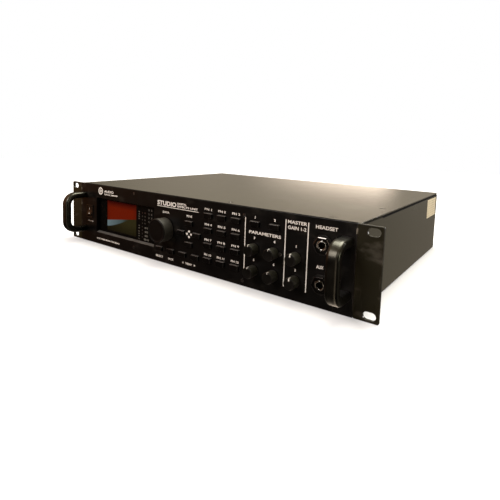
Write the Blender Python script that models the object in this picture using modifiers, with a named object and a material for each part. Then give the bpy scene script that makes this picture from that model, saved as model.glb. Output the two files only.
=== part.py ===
"""A two-unit, 19-inch rack effects processor, built as separate parts.

Dimensions are in millimetres, and piece() turns them into metres. +X is to the right
seen from the front, the front faces -Y, and z = 0 is the underside. Depths are measured
from the front face of the panel, positive into the rack.
"""

import math

import bmesh
import bpy
from mathutils import Matrix, Vector

MM = 0.001
GAP = 0.3

# Outer size
RACK_WIDTH = 482.6
RACK_HEIGHT = 88.1
HANDLE_REACH = 34.0
CHASSIS_DEPTH = 343.5
REAR_REACH = 346.5
FACE_Y = (HANDLE_REACH - REAR_REACH) / 2

# Sheet metal
FACEPLATE_HALF = 217.3
FACEPLATE_THICKNESS = 4.5
EAR_THICKNESS = 3.2
EAR_LEG_THICKNESS = 2.5
EAR_LEG_DEPTH = 60.0
EAR_LEG_MARGIN = 1.5
EAR_CORNER_RADIUS = 1.5
EAR_BEND_START = 1.6
CHASSIS_HALF = 218.6
SHEET = 1.6
COVER_TOP = 87.8
COVER_FLANGE = 12.0
COVER_CORNER_RADIUS = 3.0
COVER_CORNER_STEPS = 4
REAR_SHEET = 2.0
REAR_FACE = CHASSIS_DEPTH - GAP
STANDOFF_RADIUS = 3.0
BOARD_BOTTOM = 8.0

# Rack slots
SLOT_X = 232.55
SLOT_INSET = 5.95
SLOT_LENGTH = 12.0
SLOT_WIDTH = 7.5
SLOT_ARC_STEPS = 8

# Handles
HANDLE_X = 208.8
HANDLE_FEET = (19.3, 70.4)
HANDLE_SECTION = (13.0, 9.0)
HANDLE_SECTION_RADIUS = 3.0
HANDLE_BEND = 13.0
HANDLE_BEND_STEPS = 5
HANDLE_SHARP_ANGLE = 40

# Display
WINDOW = (-178.6, 19.0, -52.0, 69.0)
WINDOW_CORNER_RADIUS = 1.5
LENS_MARGIN = 2.4
LENS_THICKNESS = 1.5
MODULE_MARGIN = 1.4
MODULE_THICKNESS = 5.4

# Push buttons
BUTTON_WIDTH = 12.0
BUTTON_HEIGHT = 6.0
BUTTON_PROUD = 2.5
BUTTON_TRAVEL = 0.8
BUTTON_LIP = 0.8
BUTTON_CHAMFER = 0.5
FUNCTION_COLUMNS = (41.0, 61.0, 81.0)
FUNCTION_TOP_ROW = 71.2
FUNCTION_PITCH = 17.6
BOTTOM_ROW_Z = 17.5
BOTTOM_ROW_START = -41.0
BOTTOM_ROW_PITCH = 20.8
QUICK_ROW_Z = 71.3
QUICK_BUTTON_COLUMNS = (106.5, 131.0)
NAV_CENTRE = (10.7, 44.6)
NAV_REACH = (13.1, 13.0)

# Knobs: centre of each, in x and z
KNOB_ROWS = (44.4, 20.4)
QUICK_COLUMNS = (106.5, 131.5)
OUTPUT_COLUMN = 156.7
KNOB_RADIUS = 6.2
KNOB_PROUD = 12.5
WHEEL_CENTRE = (-30.0, 44.4)
WHEEL_RADIUS = 15.0
WHEEL_PROUD = 16.5
KNOB_BACK_GAP = 0.6
KNOB_EDGE = 0.6
SHAFT_RADIUS = 2.9
BUSHING_RADIUS = 4.5
BUSHING_BORE = 3.25
ENCODER_SIDE = 12.0
ENCODER_FRONT = 5.4
SHAFT_END = 8.0
BUSHING_FRONT = 1.0
KNOB_BORE_END = 10.5

# Front control board
BOARD_FRONT = 12.0
BOARD_THICKNESS = 1.6
BOARD_X = (-46.0, 172.0)
BOARD_Z = (6.0, 82.0)
SWITCH_SIDE = 6.0

# Quarter-inch jacks
JACKS = {"headphone_jack": (185.0, 62.2), "instrument_input_jack": (184.8, 23.4)}
JACK_BORE_RADIUS = 3.3
JACK_NECK_RADIUS = 4.7
JACK_NUT_RADIUS = 9.0
JACK_WASHER_RADIUS = 10.0
JACK_BODY_SIDE = 15.0
JACK_DEPTH = 30.0
JACK_PROUD = 3.4
JACK_NUT_FRONT = 2.8
JACK_WASHER_FRONT = 0.9
JACK_WASHER_BITE = 0.1
JACK_END_WALL = 3.0

# Power switch
ROCKER_CENTRE = (-195.5, 46.3)
ROCKER_FLANGE = (16.0, 19.5)
ROCKER_BODY = (14.4, 17.9)
ROCKER_POCKET = (11.4, 15.4)
ROCKER_SIZE = (10.8, 13.2)
ROCKER_TILT = math.radians(8)
ROCKER_PIVOT_DEPTH = 4.0
ROCKER_FACE = 4.8
PIVOT_RADIUS = 1.0
PIVOT_REACH = 6.6
ROCKER_BACK = 3.0
ROCKER_BACK_SHOULDER = 0.6
ROCKER_BACK_HALF = 2.64
SWITCH_FLANGE_THICKNESS = 0.8
SWITCH_DEPTH = 18.0
SWITCH_POCKET_DEPTH = 10.0

# Rear connectors and fan
INLET_CENTRE = (-185.0, 44.0)
INLET_FLANGE = (50.0, 24.0)
INLET_BODY = (27.4, 19.9)
INLET_POCKET = (22.5, 15.5)
INLET_DEPTH = 22.0
INLET_FLOOR = 2.0
FAN_CENTRE = (-122.0, 43.0)
FAN_SIDE = 60.0
FAN_THICKNESS = 15.0
FAN_BORE_RADIUS = 28.0
FAN_HUB_RADIUS = 12.0
FAN_BLADES = 7
FAN_BLADE_CHORD = 9.0
FAN_BLADE_THICKNESS = 1.4
FAN_PITCH = 35.0
FAN_CORNER_RADIUS = 2.0
FAN_SPOKE_WIDTH = 3.0
FAN_SPOKE_DEPTHS = (0.5, 2.5)
FAN_SPOKE_STEP = 0.2
FAN_SPOKE_BITE = 0.8
FAN_MOTOR_DEPTHS = (0.2, 3.0)
FAN_BEARING_RADIUS = 2.5
FAN_BEARING_DEPTHS = (2.0, 8.0)
FAN_HUB_FRONT = 4.0
FAN_HUB_BACK = 1.0
FAN_TIP_CLEARANCE = 1.5
GRILLE_SLOT = 4.0
GRILLE_PITCH = 7.0
GRILLE_SLOTS = 7
MIDI_CENTRES = ((-62.0, 44.0), (-32.0, 44.0))
MIDI_RADIUS = 7.7
MIDI_RIM = 0.8
MIDI_RECESS = 1.0
MIDI_DEPTH = 16.0
MIDI_PROUD = 0.5
REAR_JACK_COLUMNS = (18.0, 46.0, 74.0)
REAR_JACK_ROWS = (28.0, 60.0)
REAR_JACK_DEPTH = 29.0
REAR_JACK_BORE_DEPTH = 26.0
REAR_JACK_MARGIN = 3.0
XLR_CENTRES = ((134.0, 44.0), (166.0, 44.0))
XLR_RADIUS = 11.7
XLR_POCKET_RADIUS = 9.5
XLR_POCKET_DEPTH = 15.0
XLR_DEPTH = 20.0
XLR_PROUD = 2.0
REAR_BLOCK_MARGIN = 2.0

# Boards inside: corners as (x, depth), and components as x, depth, width, length, height
MAIN_BOARD = ((-62.0, 60.0), (205.0, 305.0))
MAIN_BOARD_STANDOFFS = [(x, depth) for x in (-56.0, 72.0, 199.0) for depth in (66.0, 299.0)]
MAIN_BOARD_COMPONENTS = (
    (20.0, 150.0, 60.0, 60.0, 26.0),
    (110.0, 150.0, 40.0, 40.0, 20.0),
    (60.0, 260.0, 90.0, 14.0, 14.0),
    (160.0, 240.0, 30.0, 50.0, 16.0),
    (-30.0, 230.0, 30.0, 30.0, 12.0),
)
POWER_SUPPLY = ((-205.0, 110.0), (-85.0, 290.0))
POWER_SUPPLY_TOP = 44.0
POWER_SUPPLY_CHAMFER = 1.0

# Sides of round pieces, and how far joined shapes and cutters run into or past each other
ROUND = 24
SMALL_ROUND = 16
FAN_BORE_SIDES = 32
OVERLAP = 1.0


def clear_scene():
    for obj in list(bpy.data.objects):
        bpy.data.objects.remove(obj, do_unlink=True)


def new_collection(name):
    made = bpy.data.collections.new(name)
    bpy.context.scene.collection.children.link(made)
    return made


clear_scene()
PARTS = new_collection("rack_effects_unit")
CUTTERS = new_collection("cutters")
CUTTERS.hide_render = True


def material(name, colour, roughness, metallic=0.0):
    made = bpy.data.materials.new(name)
    made.use_nodes = True
    shader = made.node_tree.nodes["Principled BSDF"]
    shader.inputs["Base Color"].default_value = (*colour, 1)
    shader.inputs["Roughness"].default_value = roughness
    shader.inputs["Metallic"].default_value = metallic
    return made


PANEL_PAINT = material("panel_paint", (0.012, 0.009, 0.009), 0.45, 0.3)
EAR_PAINT = material("ear_paint", (0.016, 0.014, 0.010), 0.4, 0.4)
CASE_PAINT = material("case_paint", (0.09, 0.08, 0.06), 0.5, 0.3)
HANDLE_PAINT = material("handle_paint", (0.015, 0.013, 0.012), 0.25, 0.6)
KNOB_PLASTIC = material("knob_plastic", (0.012, 0.012, 0.011), 0.5)
BUTTON_PLASTIC = material("button_plastic", (0.010, 0.009, 0.009), 0.4)
SWITCH_PLASTIC = material("switch_plastic", (0.012, 0.011, 0.011), 0.3)
SOCKET_PLASTIC = material("socket_plastic", (0.014, 0.013, 0.013), 0.4)
LENS_PLASTIC = material("lens_plastic", (0.03, 0.012, 0.008), 0.08)
LCD_GLASS = material("lcd_glass", (0.25, 0.05, 0.01), 0.3)
STEEL = material("steel", (0.55, 0.55, 0.54), 0.3, 1.0)
CIRCUIT_GREEN = material("circuit_green", (0.02, 0.09, 0.04), 0.5)
ZINC_CASE = material("zinc_case", (0.5, 0.5, 0.48), 0.4, 0.9)


def at(x, depth, z):
    """A point in millimetres, its depth counted from the panel's front face."""
    return Vector((x, FACE_Y + depth, z))


def piece(name, mesh, look, origin=(0, 0, 0), collection=PARTS):
    """An object in metres from a bmesh in millimetres, with its origin at a chosen point."""
    bmesh.ops.translate(mesh, verts=mesh.verts, vec=-Vector(origin))
    bmesh.ops.scale(mesh, verts=mesh.verts, vec=(MM, MM, MM))
    bmesh.ops.recalc_face_normals(mesh, faces=mesh.faces)
    data = bpy.data.meshes.new(name)
    mesh.to_mesh(data)
    mesh.free()
    if look:
        data.materials.append(look)
    made = bpy.data.objects.new(name, data)
    made.location = Vector(origin) * MM
    collection.objects.link(made)
    return made


def box(mesh, low, high):
    """Adds a closed box between two opposite corners."""
    low, high = Vector(low), Vector(high)
    size = Matrix.Diagonal((*(high - low), 1))
    bmesh.ops.create_cube(mesh, size=1, matrix=Matrix.Translation((low + high) / 2) @ size)


def slab(mesh, centre, size, depths):
    """Adds a box centred on (x, z) in the panel's plane, between two depths."""
    half_x, half_z = size[0] / 2, size[1] / 2
    low = at(centre[0] - half_x, depths[0], centre[1] - half_z)
    high = at(centre[0] + half_x, depths[1], centre[1] + half_z)
    box(mesh, low, high)


def rod(mesh, start, end, radius, sides=ROUND):
    """Adds a closed cylinder between two points."""
    along = Vector(end) - Vector(start)
    turn = along.to_track_quat("Z", "Y").to_matrix().to_4x4()
    middle = Matrix.Translation((Vector(start) + Vector(end)) / 2)
    bmesh.ops.create_cone(
        mesh, cap_ends=True, segments=sides, radius1=radius, radius2=radius,
        depth=along.length, matrix=middle @ turn,
    )


def pin(mesh, centre, depths, radius, sides=ROUND):
    """Adds a cylinder square to the panel, centred on (x, z), between two depths."""
    rod(mesh, at(centre[0], depths[0], centre[1]), at(centre[0], depths[1], centre[1]), radius, sides)


def combine(target, tool_mesh, operation, solver="EXACT"):
    """Cuts or joins a bmesh of separate closed shapes, in millimetres, with an object."""
    tool = piece(f"{target.name}_{operation.lower()}", tool_mesh, None, collection=CUTTERS)
    tool.hide_render = True
    tool.display_type = "WIRE"
    step = target.modifiers.new(operation.title(), "BOOLEAN")
    step.operation = operation
    step.solver = solver
    step.object = tool


def cut(target, tool_mesh):
    combine(target, tool_mesh, "DIFFERENCE")


def join(target, tool_mesh, solver="EXACT"):
    combine(target, tool_mesh, "UNION", solver)


def rectangle(x0, z0, x1, z1, radius=0.0, arc_steps=3):
    """The outline of a rectangle, with round corners if a radius is given."""
    if not radius:
        return [(x0, z0), (x1, z0), (x1, z1), (x0, z1)]
    corners = ((x1, z0, -90), (x1, z1, 0), (x0, z1, 90), (x0, z0, 180))
    points = []
    for x, z, start in corners:
        centre_x = x - radius if x == x1 else x + radius
        centre_z = z - radius if z == z1 else z + radius
        for step in range(arc_steps + 1):
            angle = math.radians(start + 90 * step / arc_steps)
            points.append((centre_x + radius * math.cos(angle), centre_z + radius * math.sin(angle)))
    return points


def around(centre, size, radius=0.0):
    """The outline of a rectangle of a given size round its centre."""
    half_x, half_z = size[0] / 2, size[1] / 2
    return rectangle(centre[0] - half_x, centre[1] - half_z, centre[0] + half_x, centre[1] + half_z, radius)


def circle(centre, radius, sides=ROUND):
    turns = (2 * math.pi * step / sides for step in range(sides))
    return [(centre[0] + radius * math.cos(turn), centre[1] + radius * math.sin(turn)) for turn in turns]


def plate(name, outlines, depths, look, rotation=(math.pi / 2, 0, 0), lift=0.0):
    """A flat plate from an outline and the outlines of its holes.

    It stands in the panel's plane between two depths. With no rotation it lies flat, the
    outlines are in x and depth, and depths are heights above the underside.
    """
    curve = bpy.data.curves.new(name, "CURVE")
    curve.dimensions = "2D"
    curve.fill_mode = "BOTH"
    curve.extrude = (depths[1] - depths[0]) / 2 * MM
    for outline in outlines:
        spline = curve.splines.new("POLY")
        spline.points.add(len(outline) - 1)
        spline.use_cyclic_u = True
        for point, (u, v) in zip(spline.points, outline):
            point.co = (u * MM, v * MM, 0, 1)
    drawn = bpy.data.objects.new(name + "_outline", curve)
    PARTS.objects.link(drawn)
    drawn.rotation_euler = rotation
    middle = sum(depths) / 2
    drawn.location = Vector((0, lift, middle)) * MM if rotation == (0, 0, 0) else at(0, middle, 0) * MM
    bpy.context.view_layer.update()
    graph = bpy.context.evaluated_depsgraph_get()
    data = bpy.data.meshes.new_from_object(drawn.evaluated_get(graph))
    data.name = name
    data.transform(drawn.matrix_world)
    welded = bmesh.new()
    welded.from_mesh(data)
    bmesh.ops.remove_doubles(welded, verts=welded.verts, dist=0.01 * MM)
    bmesh.ops.recalc_face_normals(welded, faces=welded.faces)
    welded.to_mesh(data)
    welded.free()
    data.materials.clear()
    data.materials.append(look)
    bpy.data.objects.remove(drawn, do_unlink=True)
    made = bpy.data.objects.new(name, data)
    PARTS.objects.link(made)
    return made


def turned(name, profile, sides, look):
    """A turned mesh, in metres, from a profile of (radius, height) that starts on its top.

    Its axis is the panel's normal, so the top faces the front once it is placed.
    """
    shape = bmesh.new()
    points = [shape.verts.new((radius * MM, 0, height * MM)) for radius, height in profile]
    for first, second in zip(points, points[1:]):
        shape.edges.new((first, second))
    data = bpy.data.meshes.new(name + "_profile")
    shape.to_mesh(data)
    shape.free()
    drawn = bpy.data.objects.new(name + "_profile", data)
    PARTS.objects.link(drawn)
    screw = drawn.modifiers.new("Turn", "SCREW")
    screw.axis = "Z"
    screw.steps = sides
    screw.render_steps = sides
    screw.use_merge_vertices = True
    screw.merge_threshold = 0.00001
    bpy.context.view_layer.update()
    graph = bpy.context.evaluated_depsgraph_get()
    turned_mesh = bpy.data.meshes.new_from_object(drawn.evaluated_get(graph))
    turned_mesh.name = name
    turned_mesh.materials.append(look)
    bpy.data.objects.remove(drawn, do_unlink=True)
    turned_mesh.shade_smooth()
    turned_mesh.set_sharp_from_angle(angle=math.radians(30))
    return turned_mesh


def place_turned(name, mesh, centre, depth):
    """Puts a turned mesh on its axis, square to the panel, with its height zero at a depth."""
    made = bpy.data.objects.new(name, mesh)
    made.rotation_euler = (math.pi / 2, 0, 0)
    made.location = at(centre[0], depth, centre[1]) * MM
    PARTS.objects.link(made)
    return made


def button_places():
    """Every push button's name and centre."""
    places = {}
    for row in range(4):
        for column, x in enumerate(FUNCTION_COLUMNS):
            places[f"function_button_{row * 3 + column + 1}"] = (x, FUNCTION_TOP_ROW - row * FUNCTION_PITCH)
    nav_x, nav_z = NAV_CENTRE
    places["nav_up_button"] = (nav_x, nav_z + NAV_REACH[1])
    places["nav_down_button"] = (nav_x, nav_z - NAV_REACH[1])
    places["nav_left_button"] = (nav_x - NAV_REACH[0], nav_z)
    places["nav_right_button"] = (nav_x + NAV_REACH[0], nav_z)
    bottom_row = ("enter_button", "exit_button", "page_left_button", "page_right_button")
    for step, name in enumerate(bottom_row):
        places[name] = (BOTTOM_ROW_START + step * BOTTOM_ROW_PITCH, BOTTOM_ROW_Z)
    for name, x in zip(("quick_button_x", "quick_button_y"), QUICK_BUTTON_COLUMNS):
        places[name] = (x, QUICK_ROW_Z)
    return places


def knob_places():
    """Every small knob's name and centre."""
    places = {}
    for row, z in enumerate(KNOB_ROWS):
        for column, x in enumerate(QUICK_COLUMNS):
            places["quick_knob_" + "abcd"[row * 2 + column]] = (x, z)
        places[f"output_knob_{row + 1}"] = (OUTPUT_COLUMN, z)
    return places


BUTTONS = button_places()
KNOBS = knob_places()


def make_front_panel():
    holes = [rectangle(*WINDOW, WINDOW_CORNER_RADIUS)]
    holes.append(around(ROCKER_CENTRE, [side + 2 * GAP for side in ROCKER_BODY]))
    button_hole = (BUTTON_WIDTH + 2 * GAP, BUTTON_HEIGHT + 2 * GAP)
    holes += [around(place, button_hole) for place in BUTTONS.values()]
    holes += [circle(place, BUSHING_RADIUS + GAP) for place in (*KNOBS.values(), WHEEL_CENTRE)]
    holes += [circle(place, JACK_NECK_RADIUS + GAP) for place in JACKS.values()]
    edge = rectangle(-FACEPLATE_HALF, 0, FACEPLATE_HALF, RACK_HEIGHT)
    plate("front_panel", [edge, *holes], (0, FACEPLATE_THICKNESS), PANEL_PAINT)


def slot_outline(x, z):
    half = (SLOT_LENGTH - SLOT_WIDTH) / 2
    radius = SLOT_WIDTH / 2
    points = []
    for centre_x, start in ((x + half, -90), (x - half, 90)):
        for step in range(SLOT_ARC_STEPS + 1):
            angle = math.radians(start + 180 * step / SLOT_ARC_STEPS)
            points.append((centre_x + radius * math.cos(angle), z + radius * math.sin(angle)))
    return points


def make_ear(name, side):
    inner = FACEPLATE_HALF + GAP
    ends = sorted((side * inner, side * RACK_WIDTH / 2))
    edge = rectangle(ends[0], 0, ends[1], RACK_HEIGHT, EAR_CORNER_RADIUS)
    slots = [slot_outline(side * SLOT_X, z) for z in (SLOT_INSET, RACK_HEIGHT - SLOT_INSET)]
    ear = plate(name, [edge, *slots], (0, EAR_THICKNESS), EAR_PAINT)
    leg = bmesh.new()
    near = side * (CHASSIS_HALF + GAP)
    far = near + side * EAR_LEG_THICKNESS
    low = at(min(near, far), EAR_BEND_START, EAR_LEG_MARGIN)
    box(leg, low, at(max(near, far), EAR_LEG_DEPTH, RACK_HEIGHT - EAR_LEG_MARGIN))
    join(ear, leg)


def handle_route():
    """The bar's centre line: each point's depth and height, and how far the bar has turned."""
    low, high = HANDLE_FEET
    bend_depth = HANDLE_BEND + HANDLE_SECTION[1] / 2 - HANDLE_REACH
    half = [(-GAP, low, 0.0)]
    for step in range(HANDLE_BEND_STEPS + 1):
        turn = math.radians(90 * step / HANDLE_BEND_STEPS)
        depth = bend_depth - HANDLE_BEND * math.sin(turn)
        half.append((depth, low + HANDLE_BEND - HANDLE_BEND * math.cos(turn), turn))
    return half + [(depth, low + high - z, math.pi - turn) for depth, z, turn in reversed(half)]


def make_handle(name, side):
    """A bent bar of one section, its legs square to the panel."""
    centre_x = side * HANDLE_X
    section = around((0, 0), HANDLE_SECTION, HANDLE_SECTION_RADIUS)
    bar = bmesh.new()
    rings = []
    for depth, z, turn in handle_route():
        ring = []
        for across, out in section:
            place = at(centre_x + across, depth - out * math.sin(turn), z - out * math.cos(turn))
            ring.append(bar.verts.new(place))
        rings.append(ring)
    for ring, following in zip(rings, rings[1:]):
        for step in range(len(ring)):
            bar.faces.new((ring[step - 1], ring[step], following[step], following[step - 1]))
    bar.faces.new(rings[0])
    bar.faces.new(rings[-1])
    made = piece(name, bar, HANDLE_PAINT, (centre_x, 0, 0))
    made.data.shade_smooth()
    made.data.set_sharp_from_angle(angle=math.radians(HANDLE_SHARP_ANGLE))


def make_chassis():
    """Bottom and side walls folded from one sheet, with a flange along the top of each wall."""
    back = CHASSIS_DEPTH - GAP
    front = FACEPLATE_THICKNESS + GAP
    top = COVER_TOP - SHEET - GAP
    half = [(0, 0), (CHASSIS_HALF, 0), (CHASSIS_HALF, top), (CHASSIS_HALF - COVER_FLANGE, top)]
    section = [(-x, z) for x, z in reversed(half[1:])] + half[1:]
    mesh = bmesh.new()
    rows = [[mesh.verts.new(at(x, depth, z)) for x, z in section] for depth in (front, back)]
    for left in range(len(section) - 1):
        mesh.faces.new((rows[0][left], rows[0][left + 1], rows[1][left + 1], rows[1][left]))
    chassis = piece("chassis_tray", mesh, CASE_PAINT)
    fold = chassis.modifiers.new("Sheet", "SOLIDIFY")
    fold.thickness = SHEET * MM
    fold.use_even_offset = True
    fold.offset = -1
    standoffs = bmesh.new()
    for x, depth in MAIN_BOARD_STANDOFFS:
        low = at(x, depth, SHEET / 2)
        rod(standoffs, low, at(x, depth, BOARD_BOTTOM - GAP), STANDOFF_RADIUS, SMALL_ROUND)
    join(chassis, standoffs)


def make_cover():
    front = FACEPLATE_THICKNESS + GAP
    radius = COVER_CORNER_RADIUS
    outline = [(-CHASSIS_HALF, front), (CHASSIS_HALF, front)]
    for centre_x, start in ((CHASSIS_HALF - radius, 0), (radius - CHASSIS_HALF, 90)):
        for step in range(COVER_CORNER_STEPS + 1):
            angle = math.radians(start + 90 * step / COVER_CORNER_STEPS)
            depth = CHASSIS_DEPTH - radius + radius * math.sin(angle)
            outline.append((centre_x + radius * math.cos(angle), depth))
    plate("top_cover", [outline], (COVER_TOP - SHEET, COVER_TOP), CASE_PAINT, (0, 0, 0), FACE_Y)


def make_rear_panel():
    half = CHASSIS_HALF - SHEET - GAP
    edge = rectangle(-half, SHEET + GAP, half, COVER_TOP - 2 * SHEET - 2 * GAP)
    holes = [around(INLET_CENTRE, [side + 2 * GAP for side in INLET_BODY])]
    holes += [circle(centre, MIDI_RADIUS + GAP) for centre in MIDI_CENTRES]
    holes += [circle(centre, XLR_RADIUS + GAP) for centre in XLR_CENTRES]
    jacks = [(x, z) for x in REAR_JACK_COLUMNS for z in REAR_JACK_ROWS]
    holes += [circle(centre, JACK_NECK_RADIUS + GAP, SMALL_ROUND) for centre in jacks]
    for step in range(-(GRILLE_SLOTS // 2), GRILLE_SLOTS // 2 + 1):
        across = step * GRILLE_PITCH
        height = 2 * math.sqrt(FAN_BORE_RADIUS**2 - (abs(across) + GRILLE_SLOT / 2) ** 2)
        holes.append(around((FAN_CENTRE[0] + across, FAN_CENTRE[1]), (GRILLE_SLOT, height)))
    plate("rear_panel", [edge, *holes], (REAR_FACE - REAR_SHEET, REAR_FACE), CASE_PAINT)


def make_display():
    lens_front = FACEPLATE_THICKNESS + GAP
    x0, z0, x1, z1 = WINDOW
    lens = bmesh.new()
    low = at(x0 - LENS_MARGIN, lens_front, z0 - LENS_MARGIN)
    box(lens, low, at(x1 + LENS_MARGIN, lens_front + LENS_THICKNESS, z1 + LENS_MARGIN))
    piece("display_lens", lens, LENS_PLASTIC)
    module_front = lens_front + LENS_THICKNESS + GAP
    module = bmesh.new()
    low = at(x0 - MODULE_MARGIN, module_front, z0 - MODULE_MARGIN)
    box(module, low, at(x1 + MODULE_MARGIN, module_front + MODULE_THICKNESS, z1 + MODULE_MARGIN))
    piece("display_module", module, LCD_GLASS)


def make_power_switch():
    """A rocker on two pivots in a frame. At rest its upper half is pressed in."""
    frame = bmesh.new()
    slab(frame, ROCKER_CENTRE, ROCKER_BODY, (-SWITCH_FLANGE_THICKNESS, SWITCH_DEPTH))
    frame = piece("power_switch_frame", frame, SWITCH_PLASTIC)
    flange = bmesh.new()
    slab(flange, ROCKER_CENTRE, ROCKER_FLANGE, (-SWITCH_FLANGE_THICKNESS - GAP, -GAP))
    join(frame, flange)
    pocket = bmesh.new()
    slab(pocket, ROCKER_CENTRE, ROCKER_POCKET, (-SWITCH_DEPTH, SWITCH_POCKET_DEPTH))
    cut(frame, pocket)
    x, z = ROCKER_CENTRE
    pivot_holes = bmesh.new()
    hole_reach = PIVOT_REACH + GAP
    rod(
        pivot_holes, at(x - hole_reach, ROCKER_PIVOT_DEPTH, z), at(x + hole_reach, ROCKER_PIVOT_DEPTH, z),
        PIVOT_RADIUS + GAP, SMALL_ROUND,
    )
    cut(frame, pivot_holes)

    half_z = ROCKER_SIZE[1] / 2
    rise = half_z * math.tan(ROCKER_TILT)
    outline = [
        (-ROCKER_FACE, 0), (-ROCKER_FACE - rise, half_z), (ROCKER_BACK_SHOULDER, half_z),
        (ROCKER_BACK, ROCKER_BACK_HALF), (ROCKER_BACK, -ROCKER_BACK_HALF), (ROCKER_BACK_SHOULDER, -half_z),
        (-ROCKER_FACE - rise, -half_z),
    ]
    rocker = bmesh.new()
    pivot = at(x, ROCKER_PIVOT_DEPTH, z)
    side = [rocker.verts.new(pivot + Vector((-ROCKER_SIZE[0] / 2, y, up))) for y, up in outline]
    profile = rocker.faces.new(side)
    grown = bmesh.ops.extrude_face_region(rocker, geom=[profile])
    moved = [item for item in grown["geom"] if isinstance(item, bmesh.types.BMVert)]
    bmesh.ops.translate(rocker, verts=moved, vec=(ROCKER_SIZE[0], 0, 0))
    press = Matrix.Rotation(-ROCKER_TILT, 3, "X")
    bmesh.ops.rotate(rocker, cent=pivot, matrix=press, verts=rocker.verts)
    rocker = piece("power_rocker", rocker, SWITCH_PLASTIC, pivot)
    pivots = bmesh.new()
    rod(
        pivots, at(x - PIVOT_REACH, ROCKER_PIVOT_DEPTH, z), at(x + PIVOT_REACH, ROCKER_PIVOT_DEPTH, z),
        PIVOT_RADIUS, SMALL_ROUND,
    )
    join(rocker, pivots)


def make_button_mesh():
    """One cap with a retaining lip, its origin in the middle of its front face."""
    cap = bmesh.new()
    half_x, half_z = BUTTON_WIDTH / 2, BUTTON_HEIGHT / 2
    lip_front = BUTTON_PROUD + FACEPLATE_THICKNESS + GAP
    box(cap, (-half_x, 0, -half_z), (half_x, lip_front + BUTTON_LIP / 2, half_z))
    rim = [edge for edge in cap.edges if all(vert.co.y == 0 for vert in edge.verts)]
    bmesh.ops.bevel(cap, geom=rim, offset=BUTTON_CHAMFER, segments=1, affect="EDGES")
    cap = piece("button_cap", cap, BUTTON_PLASTIC)
    lip = bmesh.new()
    low = (-half_x - BUTTON_LIP, lip_front, -half_z - BUTTON_LIP)
    box(lip, low, (half_x + BUTTON_LIP, lip_front + BUTTON_LIP, half_z + BUTTON_LIP))
    join(cap, lip)
    bpy.context.view_layer.update()
    graph = bpy.context.evaluated_depsgraph_get()
    data = bpy.data.meshes.new_from_object(cap.evaluated_get(graph))
    data.name = "button"
    bpy.data.objects.remove(bpy.data.objects["button_cap_union"], do_unlink=True)
    bpy.data.objects.remove(cap, do_unlink=True)
    return data


def make_buttons():
    shared = make_button_mesh()
    for name, (x, z) in BUTTONS.items():
        button = bpy.data.objects.new(name, shared)
        button.location = at(x, -BUTTON_PROUD, z) * MM
        PARTS.objects.link(button)


def knob_profile(radius, proud, bore_depth):
    """A knob's section from the middle of its face to the bottom of its shaft bore."""
    back = KNOB_BACK_GAP
    bore = SHAFT_RADIUS + GAP
    return [
        (0, proud), (radius - KNOB_EDGE, proud), (radius, proud - KNOB_EDGE), (radius, back),
        (bore, back), (bore, bore_depth), (0, bore_depth),
    ]


def make_knobs():
    """Knobs and the shafts that turn with them."""
    small = turned("small_knob", knob_profile(KNOB_RADIUS, KNOB_PROUD, KNOB_BORE_END), ROUND, KNOB_PLASTIC)
    wheel = turned("wheel", knob_profile(WHEEL_RADIUS, WHEEL_PROUD, KNOB_BORE_END), 2 * ROUND, KNOB_PLASTIC)
    tip = KNOB_BORE_END - GAP
    shaft_profile = [(0, tip), (SHAFT_RADIUS, tip), (SHAFT_RADIUS, -SHAFT_END), (0, -SHAFT_END)]
    shaft = turned("shaft", shaft_profile, SMALL_ROUND, STEEL)
    for name, centre in KNOBS.items():
        place_turned(name, small, centre, 0)
        place_turned(name.replace("knob", "shaft"), shaft, centre, 0)
    place_turned("value_wheel", wheel, WHEEL_CENTRE, 0)
    place_turned("value_shaft", shaft, WHEEL_CENTRE, 0)


def make_control_board():
    """The board behind the panel, with the encoders and switches soldered to it."""
    board = bmesh.new()
    low = at(BOARD_X[0], BOARD_FRONT, BOARD_Z[0])
    box(board, low, at(BOARD_X[1], BOARD_FRONT + BOARD_THICKNESS, BOARD_Z[1]))
    board = piece("control_board", board, CIRCUIT_GREEN)
    sink = BOARD_FRONT + BOARD_THICKNESS / 2
    switch_front = FACEPLATE_THICKNESS + 2 * GAP + BUTTON_LIP + BUTTON_TRAVEL
    switches = bmesh.new()
    for centre in BUTTONS.values():
        slab(switches, centre, (SWITCH_SIDE, SWITCH_SIDE), (switch_front, sink))
    join(board, switches)
    housings = bmesh.new()
    bushings = bmesh.new()
    bores = bmesh.new()
    for centre in (*KNOBS.values(), WHEEL_CENTRE):
        slab(housings, centre, (ENCODER_SIDE, ENCODER_SIDE), (ENCODER_FRONT, sink))
        pin(bushings, centre, (BUSHING_FRONT, ENCODER_FRONT + OVERLAP), BUSHING_RADIUS, SMALL_ROUND)
        pin(bores, centre, (BUSHING_FRONT - OVERLAP, SHAFT_END + GAP), BUSHING_BORE, SMALL_ROUND)
    join(board, housings)
    join(board, bushings)
    cut(board, bores)


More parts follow.
